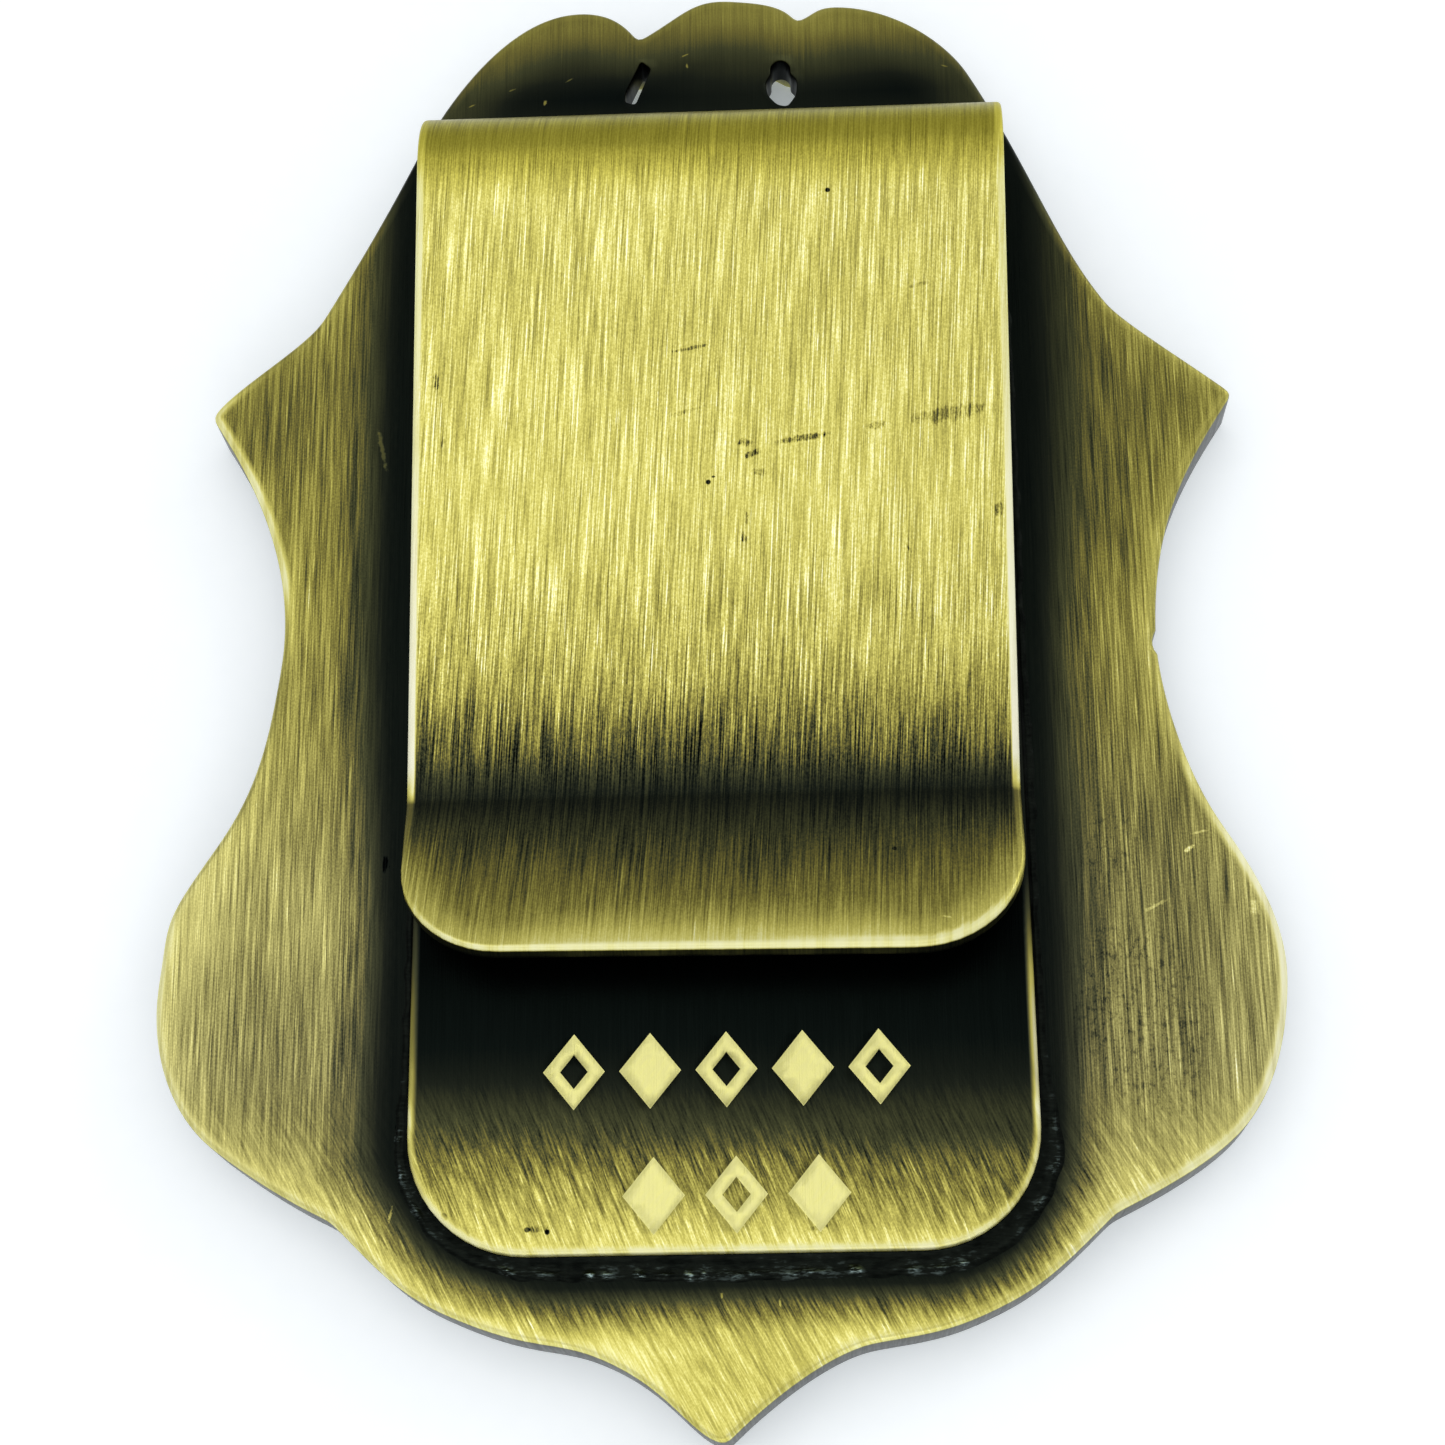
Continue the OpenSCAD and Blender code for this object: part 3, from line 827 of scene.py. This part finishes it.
BEND_C = ARM_FOOT + ARM_UP * (THICK + BEND_R)
BEND_LEN = BEND_MID * (ARM_ANGLE + LIP_ANGLE)
LIP_FOOT = np.array([PINCH_Y, PINCH_LOW]) + LIP_WAY * BEND_BACK
LIP_RUN = (PINCH_Y - LIP_END) / math.cos(LIP_ANGLE) - BEND_BACK
STRIP_LEN = FOLD_LEN + ARM_RUN + BEND_LEN + LIP_RUN


def askew(s):
    """Sideways drift at s along the arm: the strip sits a hair askew."""
    return np.interp(s, [-FOLD_LEN, -4, 0, 12, ARM_RUN, ARM_RUN + 8],
                     [0.07, 0.2, 0.14, 0, -0.17, -0.14])


def place_strip(usw):
    """Bends the flat strip: hairpin fold, sloping arm, bend at the pinch line, flared lip."""
    u, s, w = usw.T
    a = -math.pi / 2 + s / FOLD_MID
    r = FOLD_MID + w
    fold = np.stack([FOLD_Y + r * np.cos(a), AXIS_Z + r * np.sin(a)], 1)
    s1 = s - FOLD_LEN
    arm = ARM_ROOT + ARM_UP * THICK / 2 + s1[:, None] * ARM_WAY + w[:, None] * ARM_UP
    s2 = s1 - ARM_RUN
    th = s2 / BEND_MID
    turn = ARM_ANGLE - th  # slope along the bend
    up = np.stack([-np.sin(turn), np.cos(turn)], 1)
    bend = BEND_C - up * (BEND_MID - w)[:, None]
    s3 = s2 - BEND_LEN
    s3 = s3 + np.where(s3 > 0, s3 / LIP_RUN, 0) * (0.07 + 0.013 * u)  # its end is cut askew
    lip = LIP_FOOT + LIP_UP * THICK / 2 + s3[:, None] * LIP_WAY + w[:, None] * LIP_UP
    out = np.select([(s < 0)[:, None] for s in (s1, s2, s3)], [fold, arm, bend], lip)
    return np.column_stack([STRIP_X + askew(s1) + u, out])


LEG_ROOT = np.array([STRIP_X + LEG_SHIFT, FOLD_Y, (LEG_LOW + LEG_TOP) / 2])


def place_leg(usw):
    return LEG_ROOT + usw * (1, -1, 1)


def unplace_leg(p):
    return (p - LEG_ROOT) * (1, -1, 1)


def unplace_strip(p):
    """(u, s, w) of points on the bent strip, each found on the stretch it lies on."""
    yz = p[:, 1:]
    rel = yz - (FOLD_Y, AXIS_Z)
    ang = (np.arctan2(rel[:, 1], rel[:, 0]) + math.pi / 2 + 0.3) % (2 * math.pi) - 0.3
    s_fold = ang * FOLD_MID
    w_fold = np.linalg.norm(rel, axis=1) - FOLD_MID
    rel = yz - ARM_ROOT - ARM_UP * THICK / 2
    s_arm, w_arm = rel @ ARM_WAY, rel @ ARM_UP
    rel = yz - BEND_C
    down = -rel / np.linalg.norm(rel, axis=1)[:, None]
    slope = np.arctan2(-down[:, 0], down[:, 1])
    s_bend = (ARM_ANGLE - slope) * BEND_MID
    w_bend = BEND_MID - np.linalg.norm(rel, axis=1)
    rel = yz - LIP_FOOT - LIP_UP * THICK / 2
    s_lip, w_lip = rel @ LIP_WAY, rel @ LIP_UP
    on_arm = (s_arm >= 0) & (s_arm <= ARM_RUN) & (np.abs(w_arm) < THICK)
    on_lip = (s_lip > 0) & (np.abs(w_lip) < THICK) & (yz[:, 0] < PINCH_Y + 0.5)
    on_fold = (yz[:, 0] > FOLD_Y - 1.2) & ~on_arm
    on = [on_fold, on_arm, on_lip]
    s = np.select(on, [s_fold - FOLD_LEN, s_arm, s_lip + ARM_RUN + BEND_LEN], s_bend + ARM_RUN)
    w = np.select(on, [w_fold, w_arm, w_lip], w_bend)
    return np.column_stack([p[:, 0] - STRIP_X - askew(s), s, w])


# the tone along the strip, from the fold over the arm and the bend to the lip's end: patina,
# with painted shade where the fold curves away
ALONG = [-8.4, -5.2, -4, -3.2, -2.7, -2.3, -1.8, -1.4, -0.9, -0.4, 0.2, 1, 1.8, 4, 7, 12, 16, 19,
         21.5, 23.5, 25.2, 26.8, 27.8, 28.3, 28.9, 30.2, 31.6, 33, 34.2, 36]
ALONG_TONE = [0.4, 0.44, 0.46, 0.49, 0.51, 0.53, 0.545, 0.56, 0.572, 0.575, 0.585, 0.7, 0.76,
              0.75, 0.74, 0.76, 0.775, 0.74, 0.665, 0.545, 0.35, 0.19, 0.12, 0.115, 0.14, 0.22,
              0.32, 0.42, 0.51, 0.58]


def paint_strip(obj):
    p = points_of(obj)
    u, s, w = unplace_strip(p).T
    side = share(np.abs(u) / HALF)
    top = np.interp(s, ALONG, ALONG_TONE)
    # the wheel rode higher in the middle and on the right of the arm
    shift = 0.035 * (1 - side ** 2) + 0.055 * smooth(1, 9, u)
    tone = top + shift * smooth(19, 23, s) * smooth(28, 25, s)
    tone += 0.05 * side ** 2 * smooth(28.5, 30, s)
    # the lip brightens towards its free end, patina thinning with a painted highlight along the
    # rim, and its end wall is dark again
    rim = free_rim(u, s, STRIP_LEN - FOLD_LEN, np.where(u < 0, *LIP_CORNERS))
    glow = np.interp(rim, [0.2, 0.5, 0.8, 1.3, 1.9, 2.3], [0.86, 0.81, 0.755, 0.63, 0.52, 0])
    glow -= 0.08 * smooth(6.2, 8.4, np.abs(u))
    tone += np.maximum(glow - tone, 0) * smooth(29.5, 34.2, s)
    tone = np.where((rim < 0.15) & (w < 0.2) & (s > 33), 0.16, tone)
    under = 0.13 + 0.05 * wave(u * 0.4, s * 0.3, 1)
    tone = np.where(w < -0.2, under, tone)
    edge_on = smooth(HALF - 0.4, HALF - 0.28, np.abs(u)) * smooth(-0.5, 0.1, w)
    # painted highlight along the lip's end
    end = smooth(0.25, 0.17, rim) * smooth(0.16, 0.22, w) * smooth(32.8, 34.6, s)
    # painted highlight along the side edges, above 1 near white, on top of their polish
    bright = edge_on * np.interp(s, [-6, 0, 1.6, 12, 16, 26.5, 27.3, 28.1, 28.4, 33, 36],
                                 [0.1, 0.6, 1.1, 1.15, 1.3, 1.52, 1.2, 0.75, 0.32, 0.36, 0.3])
    paint(obj, "tone", np.clip(tone, 0.02, 0.95))
    paint(obj, "edge", np.maximum(bright, end))
    paint(obj, "streak", np.interp(s, [-5, -1, 2, 16, 20, 27, 29, 36],
                                   [0.2, 0.32, 1.15, 1.15, 1.3, 1.3, 0.75, 0.6]))
    # more saturated over the fold: painted shade of the fold turning from the light
    paint(obj, "grey", np.interp(s, [-2, 2], [-0.5, 0]))
    attr = obj.data.attributes.new("lay", "FLOAT_VECTOR", "POINT")
    attr.data.foreach_set("vector", np.column_stack([u, s, w]).astype(np.float32).ravel())


def free_rim(u, s, end, corner):
    """Distance in from a strip's sides and its free end, with the end's rounded corners."""
    du, ds = np.abs(u) - (HALF - corner), s - (end - corner)
    return np.where((ds > 0) & (du > 0), corner - beyond(du, ds),
                    np.minimum(end - s, HALF - np.abs(u)))


def paint_leg(obj):
    p = points_of(obj)
    u, s, w = unplace_leg(p).T
    y = p[:, 1]
    # darker towards the lip: patina with painted shade under the lip
    tone = np.interp(y, [-25.6, -24.9, -24.2, -23.5, -22.2, -20.9, -20.2, -19.6, -18.9, -18.3,
                         -17, -15, -13.4],
                     [0.82, 0.79, 0.69, 0.6, 0.445, 0.25, 0.195, 0.155, 0.115, 0.09, 0.065,
                      0.045, 0.02])
    tone -= 0.05 * smooth(3, 7, u) * smooth(-20, -21, y) * smooth(-25, -24.2, y)
    tone += 0.05 * smooth(4, -12, u) * smooth(-17, -21, y) * smooth(-25, -23, y)
    tone = np.where(w < -0.25, 0.06, tone)
    edge = smooth(0.36, 0.12, free_rim(u, s, LEG_LEN, LEG_CORNER)) * smooth(-0.35, 0.15, w)
    # painted highlight: above 1 the leg's edges turn near white, most on the right
    along = [-25.6, -24, -20, -17, -15.4, -14, -12, -10]
    edge = edge * np.where(u > 0, np.interp(y, along, [1, 1.1, 1.25, 1.3, 1.2, 0.9, 0.4, 0.1]),
                           np.interp(y, along, [1, 1.2, 1, 0.8, 0.55, 0.35, 0.2, 0.05]))
    paint(obj, "tone", np.clip(tone, 0.02, 0.95))
    paint(obj, "edge", edge)
    paint(obj, "streak", np.full(len(y), 0.88))


# ---- bright-cut motif on the leg
CUT_DEPTH = 0.05
LOZENGE = np.array([2.5, 3.1])  # wide and tall


def lozenge(cx, cy, wide, tall, grow=0):
    wide, tall = wide + grow * 2.6, tall + grow * 3.2
    corners = np.array([(cx - wide / 2, cy), (cx, cy - tall / 2),
                        (cx + wide / 2, cy), (cx, cy + tall / 2)])
    return np.array([a * (1 - t) + b * t for a, b in zip(corners, np.roll(corners, -1, 0))
                     for t in np.arange(5) / 5])


def motif():
    """(centre, wide, tall) of each lozenge, and of each hollow one's middle."""
    cut, kept = [], []
    for cx, cy, count, pitch, first_hollow in ((0.35, LEG_END + 7.3, 5, 3.08, 1),
                                               (0.7, LEG_END + 2.25, 3, 3.3, 0)):
        for i in range(count):
            x = cx + (i - (count - 1) / 2) * pitch
            cut.append((x, cy, *LOZENGE))
            if (i + first_hollow) % 2 == 1:
                kept.append((x, cy, *(LOZENGE * 0.45)))
    return cut, kept


def leg_top(loop):
    """The leg's top sheet in (u, s): flat, with the motif cut into it."""
    cut, kept = motif()

    def flat(q):
        return unplace_leg(np.column_stack([q, np.zeros(len(q))]))[:, :2]

    outer = [flat(lozenge(*c)) for c in cut]
    floor = [flat(lozenge(*c, grow=-CUT_DEPTH)) for c in cut]  # the walls lean by as much
    mid_floor = [flat(lozenge(*c, grow=CUT_DEPTH)) for c in kept]
    mid_top = [flat(lozenge(*c)) for c in kept]
    loops = outer + floor + mid_floor + mid_top
    pts = grid_points(loop.min(0), loop.max(0), 0.45, 0.12, [loop] + loops)
    # an even row of points along the edge, for the polish to end on
    row = grid_ring(strip_grid(*LEG_GRID, EDGE + 0.2))
    row = row[row[:, 1] > 0.3]
    pts = np.concatenate([row, pts[seg_dist(pts, loop) > 0.34]])
    xy, faces = triangulate([loop] + loops, pts)
    deep = np.zeros(len(xy), bool)
    for q in floor:
        deep |= inside(xy, q) | (seg_dist(xy, q) < 1e-4)
    for q in mid_floor:
        deep &= ~(inside(xy, q) & (seg_dist(xy, q) > 1e-4))
    z = THICK / 2 - CUT_DEPTH * deep
    centre = np.array([xy[list(f)].mean(0) for f in faces])
    bright = np.zeros(len(faces), bool)
    for q in outer:
        bright |= inside(centre, q)
    for q in mid_top:
        bright &= ~inside(centre, q)
    faces = [f[::-1] for f in faces]
    return np.column_stack([xy, z]), faces, bright.astype(int)


# ---- solder bead
def build_bead(material):
    """An uneven, glossy fillet of solder along the leg's sides and round its free end."""
    half, r = HALF + 0.02, LEG_CORNER + 0.02
    x0, y0 = LEG_ROOT[0], LEG_END
    inner, turn_y = HALF - LEG_CORNER, y0 + LEG_CORNER

    def corner(cx, start):
        ways = [toward(a, 1) for a in np.linspace(start, start + 90, 34)]
        return [(cx + r * c, turn_y + r * n, c, n) for c, n in ways]

    # x, y and the way out, down the left side, round the end and up the right side
    path = [(x0 - half, y, -1, 0) for y in np.arange(19.5, turn_y, -0.25)]
    path += corner(x0 - inner, 180)
    path += [(x, y0 - 0.02, 0, -1) for x in np.arange(x0 - inner + 0.1, x0 + inner, 0.1)]
    path += corner(x0 + inner, 270)
    path += [(x0 + half, y, 1, 0) for y in np.arange(turn_y + 0.25, 19.6, 0.25)]
    path = np.array(path)
    x, y = path[:, 0], path[:, 1]
    run = np.concatenate([[0], np.cumsum(np.hypot(np.diff(x), np.diff(y)))])
    end = smooth(-17, -22, y)  # more solder ran out at the free end
    taper = 0.35 + 0.65 * (smooth(0, 3, run) * smooth(run[-1], run[-1] - 3, run))
    end_wide = end * (0.58 - 0.3 * smooth(-6.5, -9.5, x))
    wide = (0.28 + end_wide + 0.08 * wave(run * 1.1, 0, 3)
            + 0.06 * wave(run * 4.1, 0, 4)) * taper
    rise = (0.14 + 0.02 * end + 0.04 * wave(run * 0.9, 0, 7)) * taper
    # the frozen edge of the run-out: a low ridge in lumps, with a trough behind it
    lumps = np.zeros(len(run))
    for cx, reach, tall in ((-8.4, 0.3, 0.9), (-6.9, 0.8, 0.45), (-5.2, 0.22, 1),
                            (-4.6, 0.35, 0.6), (-3.2, 0.25, 0.9), (-2.2, 0.6, 0.5),
                            (-1.25, 0.2, 1), (-0.7, 0.18, 0.8), (1, 1.5, 0.55),
                            (3.4, 1.3, 0.6), (5.35, 0.3, 1.1), (7.6, 0.5, 0.5),
                            (8.6, 0.3, 0.7), (9.4, 0.25, 0.8)):
        lumps = np.maximum(lumps, tall * np.exp(-((x - cx) / reach) ** 2) * (y < -22))
    for cy in (-23.2, -21.9, -20.4):
        lumps = np.maximum(lumps, 0.6 * np.exp(-((y - cy) / 0.35) ** 2) * (np.abs(x) > 9))
    ridge_at = np.minimum(0.8, wide * 0.85)
    s = Solid()
    rings = []
    for q, w, h, l, at in zip(path, wide, rise, lumps, ridge_at):
        low = max(0.04, 0.06 * w)
        # (distance out, height over the plate's back)
        section = [(-0.17, 0.004), (-0.17, 0.092), (0, 0.098), (0.004, 0.1 + h),
                   (0.1 * w, 0.09 + h * 0.7), (0.25 * w, 0.05 + h * 0.42),
                   (0.45 * w, low + h * 0.2), (at - 0.14, low + 0.05 * l),
                   (at - 0.05, low + 0.15 * l + 0.01), (at + 0.04, low + 0.17 * l + 0.01),
                   (at + 0.12, low * 0.8 + 0.07 * l), (w + 0.06, low * 0.35), (w + 0.12, 0.004)]
        # keep the section's outward steps in order
        outs = [a for a, _ in section]
        for i in range(1, len(outs)):
            outs[i] = max(outs[i], outs[i - 1] + (0 if i < 4 else 0.012))
        rings.append([(q[0] + q[2] * a, q[1] + q[3] * a, BACK_Z + z)
                      for a, (_, z) in zip(outs, section)])
    starts = s.band(rings)
    n = len(rings[0])
    s.face([starts[0] + i for i in range(n)])
    s.face([starts[-1] + i for i in range(n)][::-1])
    obj = s.make("solder_run", [material], sharp=60, weld=1e-4)
    at, off = nearest(points_of(obj)[:, :2], path[:, :2])
    off -= ridge_at[at]
    # painted highlights: pale spots on the lumps and thin pale lines along the ridge
    solder_glint = share(lumps[at]) * np.exp(-(off / 0.17) ** 2)
    thread_glint = 0.34 * np.exp(-(off / 0.07) ** 2) + 0.26 * np.exp(-((off + 0.3) / 0.07) ** 2)
    thread_glint = thread_glint * end[at] * share(0.6 + 0.7 * wave(run[at] * 1.6, 0, 6))
    paint(obj, "solder_glint", np.maximum(solder_glint, thread_glint))
    return obj


def solder_material(name):
    n = Nodes(name)
    v = n.place()
    big = n.noise(v, (0.9, 0.9, 0.9), 3)
    small = n.noise(v, (0.42, 0.1, 0.2), 3, 0.6)
    mixed = n.times_plus(small, 0.4, n.times(big, 0.6))
    # painted highlights on the lumps and along the ridge
    pale = n.times(n.attr("solder_glint"), n.remap(small, 0.42, 0.62, 0.3, 1))
    mixed = n.times_plus(pale, 0.62, mixed)
    colour = n.ramp(mixed, [(0.4, (0.045, 0.055, 0.048)), (0.62, (0.095, 0.11, 0.095)),
                            (0.8, (0.25, 0.29, 0.28)), (1, (0.6, 0.68, 0.68))])
    rough = n.remap(big, 0.35, 0.65, 0.3, 0.45)
    normal = n.bump(mixed, 0.35, 0.00008)
    return n.surface(Base_Color=colour, Metallic=1, Roughness=rough, Normal=normal)


# ---- pieces
ARM_MARKS = {
    "dot": [(5.09, 1.83, 0.13, 0.13, 0, 0.7), (-0.1, 14.68, 0.13, 0.13, 0, 0.7),
        (0.12, 14.45, 0.1, 0.06, 0, 0.5), (7.4, 31.2, 0.12, 0.12, 0, 0.2)],
    "scuff": [(4, 12.85, 1.7, 0.2, -8, 0.5), (7.05, 12.38, 0.5, 0.26, -8, 0.42),
        (10.2, 11.95, 2.6, 0.5, -8, 0.24), (1.45, 13, 0.55, 0.22, 0, 0.4),
        (1.75, 13.5, 0.5, 0.2, -25, 0.48), (2.1, 14.3, 0.45, 0.25, 0, 0.25),
        (-0.81, 8.75, 1.3, 0.12, -10, 0.32), (-1.2, 11.6, 1.2, 0.14, -14, 0.2),
        (9, 6.2, 0.8, 0.12, -12, 0.18), (1.38, 17.2, 0.24, 0.4, 0, 0.38),
        (1.5, 16.3, 0.16, 0.45, 0, 0.26), (-11.73, 9.9, 0.18, 0.55, 0, 0.38),
        (-11.4, 12.6, 0.14, 0.4, 0, 0.22), (12.1, 16.2, 0.28, 0.55, 0, 0.4),
        (8.3, 17.8, 0.12, 0.32, -30, 0.3)],
    "pale": [(9.3, 34.6, 0.35, 0.08, 10, 0.2)],
}
LEG_MARKS = {
    "dot": [(-7.63, -24.41, 0.15, 0.13, 0, 0.5), (-6.83, -24.51, 0.13, 0.13, 0, 0.6),
        (-10.95, -23.84, 0.16, 0.2, 20, 0.4)],
    "scuff": [(-7.2, -24.4, 0.6, 0.22, 0, 0.25), (3.9, -24.5, 0.7, 0.16, 10, 0.2)],
}
PLATE_MARKS = {
    "pale": [(-7.56, 27.46, 0.12, 0.22, -15, 0.4), (-10.94, 27.43, 0.26, 0.05, 25, 0.25),
        (-6.42, 28.64, 0.3, 0.05, 30, 0.22), (-1.04, 29.77, 0.34, 0.06, 25, 0.25),
        (-1, 29.18, 0.08, 0.2, 10, 0.3), (-9.06, 28.21, 0.3, 0.05, 20, 0.2),
        (10.88, 28.72, 0.3, 0.05, -20, 0.2), (0.04, -27, 0.08, 0.18, 5, 0.3),
        (2.33, -27.31, 0.09, 0.24, 5, 0.3), (-13.25, -23.58, 0.1, 0.45, -12, 0.35),
        (19.6, -9, 0.38, 0.14, 30, 0.38), (20.1, -8.3, 0.55, 0.08, 12, 0.22),
        (18.1, -11.4, 0.8, 0.12, 28, 0.2), (22.1, -11.6, 0.4, 0.5, 0, 0.16),
        (-17.9, 10.6, 0.07, 0.8, 0, 0.1), (-14.6, 10.2, 0.16, 1.5, 12, 0.16)],
    "scuff": [(-13.89, -8.95, 0.2, 0.5, 0, 0.25), (-12.95, -20.15, 0.25, 0.8, 0, 0.25)],
    "flecks": [(17.3, -16.2, 3.2, 5.4, 10, 0.15), (16.4, -9, 1.6, 2.4, 0, 0.1)],
}

badge_brass = antique_brass("antique_brass_plate", Nodes.place, PLATE_MARKS, BACK_Z,
                            (-28, -17, -24))
leg_brass = antique_brass("antique_brass_leg", Nodes.place, LEG_MARKS, LEG_TOP,
                          (-22, -16, -21))
cut_brass = antique_brass("bright_cut_brass", Nodes.place, bright_cut=True)
strip_brass = antique_brass("antique_brass_strip", lay_attribute, ARM_MARKS, THICK / 2,
                            quiet=(0.03, 0.26), lean=-3)
solder = solder_material("dark_solder")

badge = build_badge(badge_brass)
paint_badge(badge)
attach(badge, "badge")
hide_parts("badge_plate")

leg = build_strip("clip_leg_strip", LEG_GRID, place_leg, [leg_brass, cut_brass], top=leg_top)
paint_leg(leg)
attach(leg, "badge")
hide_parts("clip_leg")

strip = build_strip("clip_spring_strip", (STRIP_LEN, LIP_CORNERS, 0.3, 64), place_strip,
                    [strip_brass])
paint_strip(strip)
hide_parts("clip_fold", "clip_arm", "clip_bend", "clip_lip")
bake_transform(strip)

bead = build_bead(solder)
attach(bead, "badge")
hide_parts("solder_bead")

film = bpy.data.objects["solder_film"]
film.data.materials.clear()
film.data.materials.append(solder)


# ---- floor, light, camera
def floor():
    mesh = bpy.data.meshes.new("table")
    bm = bmesh.new()
    bmesh.ops.create_grid(bm, x_segments=8, y_segments=8, size=1.6)
    bm.to_mesh(mesh)
    bm.free()
    obj = bpy.data.objects.new("table", mesh)
    scene.collection.objects.link(obj)
    obj.location = (0, 0, cad_lo.z - 0.03 * MM)
    n = Nodes("pale_paper")
    grain = n.noise(n.place(), (0.8, 0.8, 0.8), 3)
    colour = n.ramp(grain, [(0.2, (0.925, 0.932, 0.94)), (0.8, (0.94, 0.945, 0.952))])
    mat = n.surface(Base_Color=colour, Roughness=0.9, Emission_Color=(0.88, 0.97, 1, 1),
                    Emission_Strength=0.3)
    mesh.materials.append(mat)


def soft_light(name, at, size, power):
    """A rectangular light that is aimed at the middle of the table."""
    data = bpy.data.lights.new(name, "AREA")
    data.shape = "RECTANGLE"
    data.size, data.size_y = size
    data.energy = power
    obj = bpy.data.objects.new(name, data)
    scene.collection.objects.link(obj)
    obj.location = at
    obj.rotation_mode = "QUATERNION"
    obj.rotation_quaternion = (-Vector(at)).to_track_quat("-Z", "Y")


floor()
world = bpy.data.worlds.new("studio")
world.use_nodes = True
sky = world.node_tree.nodes["Background"].inputs
sky["Color"].default_value = (0.98, 0.99, 1, 1)
sky["Strength"].default_value = 0.7
scene.world = world
soft_light("key_panel", (-0.12, 0.06, 0.55), (0.5, 0.5), 0.55)
soft_light("front_panel", (0.02, -0.42, 0.2), (0.4, 0.25), 0.3)
soft_light("rim_panel", (0.3, 0.28, 0.22), (0.16, 0.16), 0.2)
scene.view_settings.view_transform = "Standard"

cam_data = bpy.data.cameras.new("camera")
cam_data.lens = 69.39
cam_data.sensor_width = 36
cam_data.clip_start, cam_data.clip_end = 0.01, 20
cam = bpy.data.objects.new("camera", cam_data)
scene.collection.objects.link(cam)
back = Vector((0.03810685, -0.33040985, 0.94306797))
right = Vector((0.9989785, -0.01034049, -0.04398891))
up = back.cross(right)
turn = Matrix((right, up, back)).transposed().to_4x4()
turn.translation = Vector((4.806, -41.982, 114.282)) * MM
cam.matrix_world = turn
scene.camera = cam
